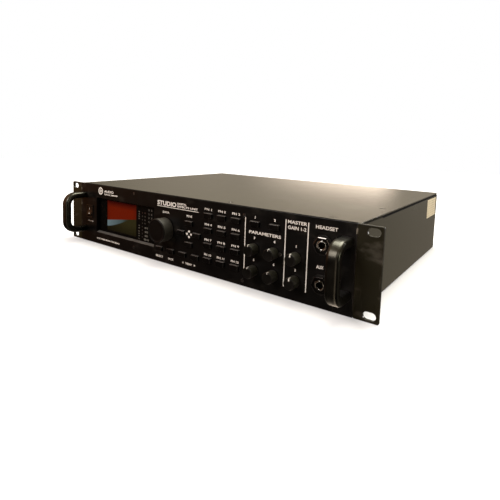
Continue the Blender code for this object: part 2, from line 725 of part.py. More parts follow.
def make_jack(name, centre):
    """A panel jack: its body behind the panel, its threaded neck, washer and nut in front."""
    body = bmesh.new()
    slab(body, centre, (JACK_BODY_SIDE, JACK_BODY_SIDE), (FACEPLATE_THICKNESS + GAP, JACK_DEPTH))
    jack = piece(name, body, STEEL)
    neck = bmesh.new()
    pin(neck, centre, (-JACK_PROUD, FACEPLATE_THICKNESS + OVERLAP), JACK_NECK_RADIUS)
    nut = bmesh.new()
    pin(nut, centre, (-JACK_NUT_FRONT, -JACK_WASHER_FRONT), JACK_NUT_RADIUS, 6)
    washer = bmesh.new()
    pin(washer, centre, (-JACK_WASHER_FRONT - JACK_WASHER_BITE, -GAP), JACK_WASHER_RADIUS)
    for added in (neck, nut, washer):
        join(jack, added)
    bore = bmesh.new()
    pin(bore, centre, (-JACK_PROUD - OVERLAP, JACK_DEPTH - JACK_END_WALL), JACK_BORE_RADIUS, SMALL_ROUND)
    cut(jack, bore)


def make_power_inlet():
    inner = REAR_FACE - INLET_DEPTH
    body = bmesh.new()
    slab(body, INLET_CENTRE, INLET_BODY, (inner, REAR_FACE + OVERLAP))
    inlet = piece("power_inlet", body, SOCKET_PLASTIC)
    flange = bmesh.new()
    slab(flange, INLET_CENTRE, INLET_FLANGE, (REAR_FACE + GAP, REAR_REACH))
    join(inlet, flange)
    pocket = bmesh.new()
    slab(pocket, INLET_CENTRE, INLET_POCKET, (inner + INLET_FLOOR, REAR_REACH + OVERLAP))
    cut(inlet, pocket)


def make_rear_block(name, centres, margin, radius, bore, depths, look):
    """Round sockets moulded in one block: it stands behind the rear panel and they pass through."""
    front, back = depths
    inside = REAR_FACE - REAR_SHEET - GAP
    xs = [x for x, _ in centres]
    zs = [z for _, z in centres]
    low = at(min(xs) - margin, front, min(zs) - margin)
    shape = bmesh.new()
    box(shape, low, at(max(xs) + margin, inside, max(zs) + margin))
    block = piece(name, shape, look)
    necks = bmesh.new()
    bores = bmesh.new()
    for centre in centres:
        pin(necks, centre, (inside - OVERLAP, back), radius, SMALL_ROUND)
        pin(bores, centre, (back - bore[1], back + OVERLAP), bore[0], SMALL_ROUND)
    join(block, necks)
    cut(block, bores)


def make_rear_connectors():
    make_power_inlet()
    make_rear_block(
        "rear_midi_block", MIDI_CENTRES, MIDI_RADIUS + REAR_BLOCK_MARGIN, MIDI_RADIUS,
        (MIDI_RADIUS - MIDI_RIM, MIDI_RECESS), (REAR_FACE - MIDI_DEPTH, REAR_FACE + MIDI_PROUD),
        SOCKET_PLASTIC,
    )
    jacks = [(x, z) for x in REAR_JACK_COLUMNS for z in REAR_JACK_ROWS]
    make_rear_block(
        "rear_jack_block", jacks, JACK_NECK_RADIUS + REAR_JACK_MARGIN, JACK_NECK_RADIUS,
        (JACK_BORE_RADIUS, REAR_JACK_BORE_DEPTH), (REAR_FACE - REAR_JACK_DEPTH, REAR_REACH - GAP),
        SOCKET_PLASTIC,
    )
    make_rear_block(
        "rear_xlr_block", XLR_CENTRES, XLR_RADIUS + REAR_BLOCK_MARGIN, XLR_RADIUS,
        (XLR_POCKET_RADIUS, XLR_POCKET_DEPTH), (REAR_FACE - XLR_DEPTH, REAR_FACE + XLR_PROUD),
        SOCKET_PLASTIC,
    )


def make_fan():
    """A square fan behind the grille: a frame that carries the bearing, and a bladed rotor."""
    back = REAR_FACE - REAR_SHEET - GAP
    front = back - FAN_THICKNESS
    edge = around(FAN_CENTRE, (FAN_SIDE, FAN_SIDE), FAN_CORNER_RADIUS)
    bore = circle(FAN_CENTRE, FAN_BORE_RADIUS, FAN_BORE_SIDES)
    frame = plate("fan_frame", [edge, bore], (front, back), SOCKET_PLASTIC)
    x, z = FAN_CENTRE
    span = 2 * (FAN_BORE_RADIUS + FAN_SPOKE_BITE)
    spoke_front, spoke_back = (front + depth for depth in FAN_SPOKE_DEPTHS)
    level = bmesh.new()
    slab(level, FAN_CENTRE, (span, FAN_SPOKE_WIDTH), (spoke_front, spoke_back))
    upright = bmesh.new()
    upright_depths = (spoke_front + FAN_SPOKE_STEP, spoke_back - FAN_SPOKE_STEP)
    slab(upright, FAN_CENTRE, (FAN_SPOKE_WIDTH, span), upright_depths)
    motor = bmesh.new()
    pin(motor, FAN_CENTRE, [front + depth for depth in FAN_MOTOR_DEPTHS], FAN_HUB_RADIUS)
    bearing = bmesh.new()
    bearing_front, bearing_back = (front + depth for depth in FAN_BEARING_DEPTHS)
    pin(bearing, FAN_CENTRE, (bearing_front, bearing_back), FAN_BEARING_RADIUS, SMALL_ROUND)
    for added in (level, upright, motor, bearing):
        join(frame, added, "MANIFOLD")

    hub_front = front + FAN_HUB_FRONT
    hub_back = back - FAN_HUB_BACK
    hub = bmesh.new()
    pin(hub, FAN_CENTRE, (hub_front, hub_back), FAN_HUB_RADIUS)
    rotor = piece("fan_rotor", hub, SOCKET_PLASTIC, at(x, (front + back) / 2, z))
    blades = bmesh.new()
    root = FAN_HUB_RADIUS - OVERLAP
    tip = FAN_BORE_RADIUS - FAN_TIP_CLEARANCE
    corner = Vector((tip, FAN_BLADE_THICKNESS / 2, FAN_BLADE_CHORD / 2))
    pitch = Matrix.Rotation(math.radians(FAN_PITCH), 4, "X")
    middle = Matrix.Translation(at(x, (hub_front + hub_back) / 2, z))
    for step in range(FAN_BLADES):
        blade = bmesh.new()
        box(blade, (root, -corner.y, -corner.z), corner)
        turn = Matrix.Rotation(2 * math.pi * step / FAN_BLADES, 4, "Y")
        blade.transform(middle @ turn @ pitch)
        copy = bpy.data.meshes.new("blade")
        blade.to_mesh(copy)
        blade.free()
        blades.from_mesh(copy)
        bpy.data.meshes.remove(copy)
    join(rotor, blades)
    sleeve = bmesh.new()
    sleeve_depths = (bearing_front + OVERLAP, bearing_back + GAP)
    pin(sleeve, FAN_CENTRE, sleeve_depths, FAN_BEARING_RADIUS + GAP, SMALL_ROUND)
    cut(rotor, sleeve)


def make_main_board():
    """The processing board, with its heat sink and larger components soldered on."""
    board = bmesh.new()
    (x0, depth0), (x1, depth1) = MAIN_BOARD
    box(board, at(x0, depth0, BOARD_BOTTOM), at(x1, depth1, BOARD_BOTTOM + BOARD_THICKNESS))
    board = piece("main_board", board, CIRCUIT_GREEN)
    components = bmesh.new()
    for x, depth, width, length, height in MAIN_BOARD_COMPONENTS:
        low = at(x - width / 2, depth - length / 2, BOARD_BOTTOM + BOARD_THICKNESS / 2)
        box(components, low, at(x + width / 2, depth + length / 2, BOARD_BOTTOM + height))
    join(board, components)


def make_power_supply():
    (x0, depth0), (x1, depth1) = POWER_SUPPLY
    supply = bmesh.new()
    box(supply, at(x0, depth0, SHEET + GAP), at(x1, depth1, POWER_SUPPLY_TOP))
    bmesh.ops.bevel(supply, geom=supply.edges[:], offset=POWER_SUPPLY_CHAMFER, segments=1, affect="EDGES")
    piece("power_supply", supply, ZINC_CASE)


make_front_panel()
make_ear("ear_bracket_left", -1)
make_ear("ear_bracket_right", 1)
make_handle("handle_left", -1)
make_handle("handle_right", 1)
make_chassis()
make_cover()
make_rear_panel()
make_display()
make_power_switch()
make_buttons()
make_knobs()
make_control_board()
for jack_name, jack_centre in JACKS.items():
    make_jack(jack_name, jack_centre)
make_rear_connectors()
make_fan()
make_main_board()
make_power_supply()
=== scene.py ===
"""The looks of the rack effects unit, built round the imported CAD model.

Dimensions are in millimetres, and show() turns them into metres. +X is to the right seen
from the front, the front faces -Y and +Z is up. Depths are measured from the front face of
the panel, positive into the rack, and a place in the panel's plane is (x, z).
"""

import math

import bmesh
import bpy
from mathutils import Matrix, Vector


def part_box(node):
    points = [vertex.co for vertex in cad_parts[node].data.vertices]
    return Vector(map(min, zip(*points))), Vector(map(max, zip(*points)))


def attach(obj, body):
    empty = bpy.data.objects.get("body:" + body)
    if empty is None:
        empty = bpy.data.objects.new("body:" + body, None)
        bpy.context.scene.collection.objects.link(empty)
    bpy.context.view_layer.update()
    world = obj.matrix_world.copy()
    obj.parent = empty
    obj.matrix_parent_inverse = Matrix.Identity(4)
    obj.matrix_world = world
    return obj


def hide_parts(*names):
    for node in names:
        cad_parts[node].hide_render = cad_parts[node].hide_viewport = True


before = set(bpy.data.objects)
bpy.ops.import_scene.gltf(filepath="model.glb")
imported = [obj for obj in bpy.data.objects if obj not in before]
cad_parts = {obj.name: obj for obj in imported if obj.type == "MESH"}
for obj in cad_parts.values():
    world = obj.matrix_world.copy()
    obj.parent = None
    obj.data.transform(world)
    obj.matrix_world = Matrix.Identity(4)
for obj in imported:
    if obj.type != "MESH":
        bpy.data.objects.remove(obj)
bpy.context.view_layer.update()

MM = 0.001
GAP = 0.3


def cad_box(node):
    """The lowest and highest corner of a CAD node, in millimetres."""
    low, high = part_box(node)
    return low / MM, high / MM


def middle_of(node):
    """The centre of a CAD node as (x, z)."""
    low, high = cad_box(node)
    return ((low.x + high.x) / 2, (low.z + high.z) / 2)


def size_of(node):
    """The width and height of a CAD node."""
    low, high = cad_box(node)
    return (high.x - low.x, high.z - low.z)


def depths_of(node):
    """The depths of a CAD node's front and back."""
    low, high = cad_box(node)
    return (low.y - FACE_Y, high.y - FACE_Y)


PANEL_LOW, PANEL_HIGH = cad_box("front_panel")
FACE_Y = PANEL_LOW.y
HEIGHT = PANEL_HIGH.z
PANEL_HALF = PANEL_HIGH.x
PANEL_THICKNESS = PANEL_HIGH.y - FACE_Y
COVER_LOW, COVER_HIGH = cad_box("top_cover")
COVER_HALF = COVER_HIGH.x
SHEET = COVER_HIGH.z - COVER_LOW.z
CASE_FRONT, COVER_BACK = depths_of("top_cover")
REAR_FACE = depths_of("rear_panel")[1]
LENS_LOW, LENS_HIGH = cad_box("display_lens")
LENS_MARGIN = 2.4
WINDOW = (
    LENS_LOW.x + LENS_MARGIN,
    LENS_LOW.z + LENS_MARGIN,
    LENS_HIGH.x - LENS_MARGIN,
    LENS_HIGH.z - LENS_MARGIN,
)
SCREEN = (-163.0, 22.0, -96.0, 66.0)

BUTTONS = [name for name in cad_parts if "button" in name]
FUNCTION_BUTTONS = [f"function_button_{number}" for number in range(1, 13)]
QUICK_KNOBS = [f"quick_knob_{letter}" for letter in "abcd"]
OUTPUT_KNOBS = ["output_knob_1", "output_knob_2"]
JACKS = ["headphone_jack", "instrument_input_jack"]
MIDI_CENTRES = ((-62.0, 44.0), (-32.0, 44.0))
XLR_CENTRES = ((134.0, 44.0), (166.0, 44.0))
REAR_JACKS = [(x, z) for x in (18.0, 46.0, 74.0) for z in (28.0, 60.0)]
PANEL_SCREWS = ((-93.0, 83.2), (-93.0, 8.9), (92.0, 78.4), (92.0, 5.6), (138.7, 44.0))
HALF_COVER_SCREWS = ((206, 108), (207, 242), (188, 15), (61, 15))
COVER_SCREWS = [(side * x, depth) for side in (-1, 1) for x, depth in HALF_COVER_SCREWS]


# ---- Materials ---------------------------------------------------------------------------


LOOKS = {}


def configured(item, **settings):
    """Sets attributes of a node, a modifier or a data block, and returns it."""
    for key, value in settings.items():
        setattr(item, key, value)
    return item


class Nodes:
    """Adds and links the shader nodes of one material, or of the world, and keeps it in LOOKS."""

    def __init__(self, name, owners=bpy.data.materials, place="Object"):
        self.material = owners.new(name)
        self.material.use_nodes = True
        self.tree = self.material.node_tree
        self.shader = self.tree.nodes.get("Principled BSDF")
        self.place = self.add("ShaderNodeTexCoord").outputs[place]
        self.x, self.y, self.z = self.add("ShaderNodeSeparateXYZ", {"Vector": self.place}).outputs
        LOOKS[name] = self.material

    def add(self, kind, inputs=None, **settings):
        """Adds a node, and feeds its inputs with values or with other nodes' outputs."""
        node = configured(self.tree.nodes.new(kind), **settings)
        for key, value in (inputs or {}).items():
            self.feed(node.inputs[key], value)
        return node

    def feed(self, socket, value):
        if isinstance(value, bpy.types.NodeSocket):
            self.tree.links.new(value, socket)
        else:
            socket.default_value = value

    def noise(self, scale, detail=2.0, stretch=None):
        """Noise over the surface, its cells about one over scale metres across."""
        place = self.place
        if stretch:
            place = self.add("ShaderNodeMapping", {"Vector": place, "Scale": stretch}).outputs["Vector"]
        inputs = {"Vector": place, "Scale": scale, "Detail": detail}
        return self.add("ShaderNodeTexNoise", inputs).outputs["Fac"]

    def spread(self, value, low, high, start=0.0, end=1.0, shape="LINEAR"):
        """Maps a value from [start, end] to [low, high], clamped."""
        inputs = {"Value": value, "From Min": start, "From Max": end, "To Min": low, "To Max": high}
        return self.add("ShaderNodeMapRange", inputs, interpolation_type=shape).outputs["Result"]

    def ramp(self, value, start, end, low=0.0, high=1.0):
        """Runs from low to high between two places along an axis, in millimetres."""
        return self.spread(value, low, high, start * MM, end * MM)

    def math(self, operation, first, second=0.0):
        return self.add("ShaderNodeMath", {0: first, 1: second}, operation=operation).outputs["Value"]

    def product(self, first, *others):
        for other in others:
            first = self.math("MULTIPLY", first, other)
        return first

    def mix(self, factor, first, second, blend="MIX"):
        """Blends two colours by a factor."""
        inputs = {"Factor": factor}
        for index, colour in ((6, first), (7, second)):
            inputs[index] = colour if isinstance(colour, bpy.types.NodeSocket) else (*colour, 1)
        return self.add("ShaderNodeMix", inputs, data_type="RGBA", blend_type=blend).outputs[2]

    def bump(self, height, distance, below=None):
        """Relief of a depth in millimetres from a height between 0 and 1."""
        inputs = {"Height": height, "Distance": distance * MM}
        if below:
            inputs["Normal"] = below
        return self.add("ShaderNodeBump", inputs).outputs["Normal"]

    def band(self, value, middle, half, soft):
        """One near a value, falling to zero past half a width either side."""
        away = self.math("ABSOLUTE", self.math("SUBTRACT", value, middle * MM))
        return self.ramp(away, half, half + soft, 1, 0)

    def set(self, **sockets):
        """Sets the shader's sockets, such as Base_Color, to a value or another node's output."""
        for key, value in sockets.items():
            if isinstance(value, tuple) and len(value) == 3:
                value = (*value, 1)
            self.feed(self.shader.inputs[key.replace("_", " ")], value)


def scaled(colour, factor):
    return tuple(channel * factor for channel in colour)


def finish(name, colour, roughness, specular=0.5, metallic=0.0, grain=1500.0, relief=0.01, mottle=0.15,
           patch=30.0, uneven=0.05):
    """A finish with slight patches of colour and gloss and a fine grain, each at its own scale."""
    nodes = Nodes(name)
    patches = nodes.spread(nodes.noise(patch, 4.0), 0, 1, 0.3, 0.7)
    nodes.colour = nodes.mix(patches, scaled(colour, 1 - mottle), scaled(colour, 1 + mottle))
    nodes.gloss = nodes.spread(nodes.noise(patch * 3, 3.0), roughness - uneven, roughness + uneven, 0.3, 0.7)
    nodes.relief = nodes.bump(nodes.noise(grain), relief)
    nodes.set(Base_Color=nodes.colour, Roughness=nodes.gloss, Normal=nodes.relief)
    nodes.set(Metallic=metallic, Specular_IOR_Level=specular)
    return nodes


CASE_COLOUR = (0.0395, 0.0365, 0.0225)
CASE_SHEEN = 0.13
BARE_METAL = (0.30, 0.27, 0.22)


def case_paint():
    """Textured powder coat: a fine orange peel, faint handling marks and dust in its hollows."""
    nodes = finish(
        "case_paint", CASE_COLOUR, 0.25, grain=900.0, relief=0.005, mottle=0.05, patch=14.0, uneven=0.012,
    )
    smears = nodes.spread(nodes.noise(16.0, 5.0), 0, 0.02, 0.52, 0.75)
    peel = nodes.noise(2600.0, 1.0)
    nodes.set(
        Base_Color=nodes.mix(nodes.spread(peel, 0, 0.3, 0.6, 0.75), nodes.colour, scaled(CASE_COLOUR, 1.7)),
        Roughness=nodes.math("ADD", nodes.gloss, smears),
        Normal=nodes.bump(peel, 0.002, nodes.relief),
        Coat_Weight=1.0,
        Coat_Roughness=CASE_SHEEN,
        Coat_IOR=1.3,
    )


def panel_paint(name, colour, roughness, specular, scratches):
    """Satin paint with chips along the panel's seams, upright scratches and rubbed patches."""
    nodes = finish(name, colour, roughness, specular, grain=1800.0, relief=0.015, mottle=0.2, patch=22.0)
    at_seam = nodes.band(nodes.math("ABSOLUTE", nodes.x), PANEL_HALF, 0.4, 0.5)
    chips = nodes.spread(nodes.noise(150.0, 4.0), 0.05, 1.0, 0.50, 0.60)
    worn = nodes.product(at_seam, chips, nodes.ramp(nodes.z, 30.0, 52.0, 0.1, 1))
    hairline = nodes.spread(nodes.noise(60.0, 3.0, (14.0, 1.0, 0.35)), 0, 1, 0.66, 0.74)
    patchy = nodes.spread(nodes.noise(28.0, 2.0), 0, 1, 0.48, 0.6)
    rubbed = nodes.spread(nodes.noise(55.0, 5.0, (0.8, 1.0, 1.5)), 0, 0.6, 0.58, 0.72)
    marks = nodes.math("MAXIMUM", nodes.product(hairline, patchy), rubbed)
    scratched = nodes.product(marks, scratches)
    with_marks = nodes.mix(scratched, nodes.colour, scaled(BARE_METAL, 0.3))
    nodes.set(
        Base_Color=nodes.mix(worn, with_marks, BARE_METAL),
        Roughness=nodes.math("SUBTRACT", nodes.gloss, nodes.product(scratched, 0.1)),
    )


# Colours and places of the painted reflection that the screen glows with.
SCREEN_AMBER = ((0.172, 0.0095, 0.0002), (0.036, 0.0006, 0.0004))
SCREEN_AMBER_EDGE = (0.085, 0.006, 0.002)
SCREEN_OLIVE = ((0.0060, 0.0040, 0.0012), (0.032, 0.0265, 0.0075))
SCREEN_PALE = ((0.17, 0.235, 0.255), (0.05, 0.075, 0.068))
SCREEN_HORIZON = (36.6, 46.0)
STREAK_HEIGHTS = (27.6, 41.5)
STREAK_END = -117.0
DOT_PITCH = 0.52


def screen_picture():
    """A screen that glows with a painted reflection: an amber upper field, a pale streak under it and an
    olive lower field.
    """
    nodes = Nodes("display_screen")
    left, _, right, _ = SCREEN
    edge = nodes.math("MAXIMUM", nodes.band(nodes.x, left, 0.5, 7.0), nodes.band(nodes.x, right, 0.5, 9.0))
    amber = nodes.mix(nodes.ramp(nodes.z, 56.5, 65.0), *SCREEN_AMBER)
    amber = nodes.mix(nodes.product(edge, 0.55), amber, SCREEN_AMBER_EDGE)
    across = nodes.ramp(nodes.x, left, STREAK_END)
    lit = nodes.product(nodes.ramp(nodes.z, 22.0, 36.0, 0.3, 1), nodes.spread(across, 0.35, 1, 0, 0.9))
    pale = nodes.mix(nodes.ramp(nodes.x, left, -120.0), *SCREEN_PALE)
    foot = nodes.spread(nodes.math("POWER", across, 1.4), *scaled(STREAK_HEIGHTS, MM))
    over_foot = nodes.ramp(nodes.math("SUBTRACT", nodes.z, foot), -0.4, 0.8)
    streak = nodes.product(over_foot, nodes.ramp(nodes.x, -128.0, -114.0, 1, 0))
    lower = nodes.mix(streak, nodes.mix(lit, *SCREEN_OLIVE), pale)
    horizon = nodes.ramp(nodes.x, left, right, *scaled(SCREEN_HORIZON, MM))
    upper = nodes.ramp(nodes.math("SUBTRACT", nodes.z, horizon), -0.25, 0.25)
    lines = nodes.math("MINIMUM", *(
        nodes.ramp(nodes.math("PINGPONG", axis, DOT_PITCH * MM / 2), 0, 0.09, 0.72, 1.0)
        for axis in (nodes.x, nodes.z)
    ))
    dots = nodes.mix(1.0, nodes.mix(upper, lower, amber), lines, "MULTIPLY")
    nodes.set(Base_Color=(0.004, 0.0035, 0.003), Roughness=0.45, Specular_IOR_Level=0.05)
    nodes.set(Emission_Color=dots, Emission_Strength=1.0)


def lens_plastic():
    """Smoked clear plastic, thin enough that the display shows through it."""
    nodes = finish("lens_plastic", (0.004, 0.003, 0.002), 0.10, grain=200.0, relief=0.002)
    nodes.set(Alpha=0.16, Specular_IOR_Level=0.15)


def board_surface(name, axis, top, bodies_top):
    """Green solder mask with traces, and dark component bodies from its top along an axis."""
    nodes = finish(name, (0.02, 0.10, 0.045), 0.35, grain=600.0, relief=0.02, mottle=0.3, patch=140.0)
    trace = nodes.ramp(nodes.math("PINGPONG", nodes.x, 1.3 * MM), 0.85, 0.95)
    traced = nodes.mix(nodes.product(trace, 0.6), nodes.colour, (0.05, 0.20, 0.09))
    shades = nodes.spread(nodes.noise(60.0), 0, 1, 0.4, 0.6)
    bodies = nodes.mix(shades, (0.015, 0.015, 0.016), (0.05, 0.05, 0.052))
    nodes.set(Base_Color=nodes.mix(nodes.ramp(getattr(nodes, axis), top, bodies_top), traced, bodies))


def label_paper():
    """Cream paper with faint rows of plain marks."""
    nodes = finish("label_paper", (0.74, 0.63, 0.43), 0.6, 0.3, grain=1600.0, mottle=0.06, patch=60.0)
    rows = nodes.ramp(nodes.math("PINGPONG", nodes.z, 1.75 * MM), 1.25, 1.4)
    words = nodes.spread(nodes.noise(260.0, 1.0, (0.0, 1.0, 0.02)), 0, 1, 0.47, 0.5)
    nodes.set(Base_Color=nodes.mix(nodes.product(rows, words, 0.8), nodes.colour, (0.33, 0.27, 0.18)))


case_paint()
panel_paint("panel_paint", (0.0016, 0.0013, 0.0011), 0.38, 0.25, 0.2)
panel_paint("ear_paint", (0.0125, 0.0108, 0.0042), 0.36, 0.3, 1.0)
screen_picture()
lens_plastic()
label_paper()
handle_paint = finish("handle_paint", (0.0010, 0.0008, 0.0006), 0.31, grain=500.0, relief=0.006)
handle_paint.set(Specular_Tint=(1.0, 0.96, 0.78))
finish("switch_plastic", (0.0040, 0.0032, 0.0027), 0.24, relief=0.006)
finish("socket_plastic", (0.0050, 0.0045, 0.0040), 0.38, 0.4, relief=0.02)
finish("mask_plastic", (0.0012, 0.0010, 0.0008), 0.5, 0.15)
finish("screw_black", (0.16, 0.15, 0.14), 0.25, metallic=0.9)
# Matte black for up-facing faces and folds: a painted shadow for the dark lines along the panel's top, the
# ear legs' tops and the tray's folds.
finish("painted_shadow_black", (0.0025, 0.0020, 0.0018), 0.75, 0.02, grain=900.0)
# A light grey for the window ledge: a painted highlight of the light from above.
finish("ledge_painted_highlight", (0.085, 0.082, 0.077), 0.45, grain=900.0, mottle=0.25, patch=60.0)

for name, colour, roughness, specular, relief in (
    ("wheel_plastic", (0.0012, 0.0010, 0.0008), 0.42, 0.2, 0.015),
    # The wheel's side: a lighter copy of its black, a painted highlight.
    ("wheel_side_painted_highlight", (0.0330, 0.0300, 0.0240), 0.5, 0.45, 0.015),
    ("knob_plastic", (0.0020, 0.0018, 0.0012), 0.36, 0.35, 0.012),
    # Knob sides: a lighter copy of the knob's black, a painted highlight.
    ("knob_side_painted_highlight", (0.0200, 0.0190, 0.0120), 0.42, 0.5, 0.012),
    ("button_plastic", (0.0018, 0.0015, 0.0013), 0.28, 0.4, 0.008),
    # Button tops: a lighter copy of the cap's black, a painted highlight.
    ("button_top_painted_highlight", (0.078, 0.073, 0.070), 0.36, 0.5, 0.008),
):
    finish(name, colour, roughness, specular, grain=2500.0, relief=relief)

for name, colour, roughness, grain, relief, mottle in (
    ("nickel", (0.34, 0.33, 0.31), 0.14, 1200.0, 0.004, 0.06),
    ("dark_nickel", (0.070, 0.062, 0.056), 0.22, 1200.0, 0.006, 0.15),
    ("neck_metal", (0.19, 0.18, 0.165), 0.15, 1200.0, 0.004, 0.15),
    ("zinc", (0.52, 0.52, 0.50), 0.38, 700.0, 0.01, 0.12),
    ("steel", (0.48, 0.47, 0.45), 0.3, 900.0, 0.006, 0.15),
    ("brass", (0.72, 0.53, 0.22), 0.28, 900.0, 0.004, 0.15),
):
    finish(name, colour, roughness, metallic=1.0, grain=grain, relief=relief, mottle=mottle)

for name, colour, roughness, specular, mottle, patch in (
    ("ink", (0.90, 0.87, 0.82), 0.55, 0.3, 0.05, 120.0),
    ("legend_ink", (0.24, 0.23, 0.20), 0.55, 0.3, 0.25, 300.0),
    ("faint_ink", (0.15, 0.14, 0.125), 0.55, 0.3, 0.1, 150.0),
    ("pointer_paint", (0.88, 0.86, 0.80), 0.45, 0.4, 0.06, 30.0),
):
    finish(name, colour, roughness, specular, grain=2500.0, relief=0.004, mottle=mottle, patch=patch)

for name, colour in (("led_red", (0.060, 0.030, 0.024)), ("led_clear", (0.060, 0.055, 0.048))):
    finish(name, colour, 0.35, grain=900.0, relief=0.02, mottle=0.4, patch=300.0)


# ---- Shapes ------------------------------------------------------------------------------


UPRIGHT = Matrix.Rotation(math.pi / 2, 4, "X")


def at(x, depth, z):
    """A point in millimetres, its depth counted from the panel's front face."""
    return Vector((x, FACE_Y + depth, z))


def moved_to(place, angle, axis):
    """A matrix that turns a form made about at(0, 0, 0) and moves it to a place."""
    return Matrix.Translation(place) @ Matrix.Rotation(angle, 4, axis) @ Matrix.Translation(-at(0, 0, 0))


def show(name, shape, look, body="chassis", stands_for=None, bevel=0.0, segments=3, sharp=35.0, sheet=0.0):
    """A visible piece from a bmesh in millimetres, riding on a body and standing for a CAD node."""
    bmesh.ops.scale(shape, verts=shape.verts, vec=(MM, MM, MM))
    bmesh.ops.recalc_face_normals(shape, faces=shape.faces)
    data = bpy.data.meshes.new(name)
    shape.to_mesh(data)
    shape.free()
    data.materials.append(LOOKS[look])
    made = bpy.data.objects.new(name, data)
    bpy.context.scene.collection.objects.link(made)
    data.shade_smooth()
    data.set_sharp_from_angle(angle=math.radians(sharp))
    if bevel:
        soften = made.modifiers.new("Edges", "BEVEL")
        configured(soften, width=bevel * MM, segments=segments, limit_method="ANGLE")
        configured(soften, angle_limit=math.radians(sharp), harden_normals=True)
    if sheet:
        fold = made.modifiers.new("Sheet", "SOLIDIFY")
        configured(fold, thickness=sheet * MM, use_even_offset=True, offset=-1)
    configured(made.modifiers.new("Flat faces", "WEIGHTED_NORMAL"), keep_sharp=True, weight=90)
    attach(made, body)
    if stands_for:
        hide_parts(stands_for)
    return made


def second_look(piece, look, chosen):
    """Gives another look to the faces that a test chooses."""
    piece.data.materials.append(LOOKS[look])
    for face in piece.data.polygons:
        if chosen(face):
            face.material_index = len(piece.data.materials) - 1


def rounded(points, radius, steps=4, closed=False):
    """A polyline with each corner replaced by a short curve that starts a radius away from it."""
    count = len(points)
    result = []
    for index, point in enumerate(points):
        if not closed and index in (0, count - 1):
            result.append(tuple(point))
            continue
        corner = Vector(point)
        to_before = Vector(points[index - 1]) - corner
        to_after = Vector(points[(index + 1) % count]) - corner
        start = corner + to_before.normalized() * min(radius, to_before.length / 2)
        end = corner + to_after.normalized() * min(radius, to_after.length / 2)
        for step in range(steps + 1):
            t = step / steps
            result.append(tuple(start * (1 - t) ** 2 + corner * (2 * t * (1 - t)) + end * t**2))
    return result


def rectangle(x0, z0, x1, z1, radius=0.0):
    corners = [(x0, z0), (x1, z0), (x1, z1), (x0, z1)]
    return rounded(corners, radius, closed=True) if radius else corners


def around(centre, size, radius=0.0):
    """A rectangle by its centre and size."""
    (x, z), half_x, half_z = centre, size[0] / 2, size[1] / 2
    return rectangle(x - half_x, z - half_z, x + half_x, z + half_z, radius)


def circle(centre, radius, sides=40, start=0.0):
    turns = (start + 2 * math.pi * step / sides for step in range(sides))
    return [(centre[0] + radius * math.cos(turn), centre[1] + radius * math.sin(turn)) for turn in turns]


def hexagon(centre, radius, turn, softness):
    return rounded(circle(centre, radius, 6, turn), softness, 3, closed=True)


def slot_outline(x, z, length, width, steps=12):
    """A slot with round ends, lying along x."""
    points = []
    for centre_x, start in ((x + (length - width) / 2, -90), (x - (length - width) / 2, 90)):
        for step in range(steps + 1):
            angle = math.radians(start + 180 * step / steps)
            points.append((centre_x + width / 2 * math.cos(angle), z + width / 2 * math.sin(angle)))
    return points


def merge(shape, added, matrix=Matrix.Identity(4)):
    """Adds one bmesh to another, moved by a matrix."""
    added.transform(matrix)
    data = bpy.data.meshes.new("added")
    added.to_mesh(data)
    added.free()
    shape.from_mesh(data)
    bpy.data.meshes.remove(data)


def merge_drawn(shape, drawn, matrix):
    """Adds a curve or text object's surface to a bmesh, moved by a matrix, and removes the object."""
    bpy.context.scene.collection.objects.link(drawn)
    graph = bpy.context.evaluated_depsgraph_get()
    data = bpy.data.meshes.new_from_object(drawn.evaluated_get(graph))
    data.transform(matrix)
    bpy.data.objects.remove(drawn, do_unlink=True)
    shape.from_mesh(data)
    bpy.data.meshes.remove(data)


def plate(shape, outlines, depths, edge=0.25, flat=False):
    """Adds a plate with softened rims from an outline and the outlines of its holes.

    It stands in the panel's plane between two depths. A flat one lies level: its outlines are
    in x and depth, and depths are heights above the underside.
    """
    thickness = depths[1] - depths[0]
    curve = bpy.data.curves.new("plate", "CURVE")
    configured(curve, dimensions="2D", fill_mode="BOTH", bevel_depth=edge, bevel_resolution=1)
    configured(curve, offset=-edge, extrude=thickness / 2 - edge)
    for outline in outlines:
        spline = curve.splines.new("POLY")
        spline.points.add(len(outline) - 1)
        spline.use_cyclic_u = True
        for point, (u, v) in zip(spline.points, outline):
            point.co = (u, v, 0, 1)
    middle = sum(depths) / 2
    place = Matrix.Translation(at(0, 0, middle)) if flat else Matrix.Translation(at(0, middle, 0)) @ UPRIGHT
    merge_drawn(shape, bpy.data.objects.new("plate", curve), place)
    bmesh.ops.remove_doubles(shape, verts=shape.verts, dist=0.002)


def box(shape, low, high):
    size = Matrix.Diagonal((*(high - low), 1))
    bmesh.ops.create_cube(shape, size=1, matrix=Matrix.Translation((low + high) / 2) @ size)


def slab(shape, centre, size, depths):
    """Adds a box centred on a place in the panel's plane, between two depths."""
    (x, z), half_x, half_z = centre, size[0] / 2, size[1] / 2
    box(shape, at(x - half_x, depths[0], z - half_z), at(x + half_x, depths[1], z + half_z))


def loft(shape, rows, closed=True, capped=False):
    """Joins rows of points with faces. A row is as long as the others or a single point."""
    rows = [[shape.verts.new(point) for point in row] for row in rows]
    for first, second in zip(rows, rows[1:]):
        count = max(len(first), len(second))
        for step in range(count if closed else count - 1):
            after = step + 1
            corners = (first[step % len(first)], first[after % len(first)])
            corners += (second[after % len(second)], second[step % len(second)])
            shape.faces.new(dict.fromkeys(corners))
    for row in (rows[0], rows[-1]):
        if capped and len(row) > 1:
            shape.faces.new(row)


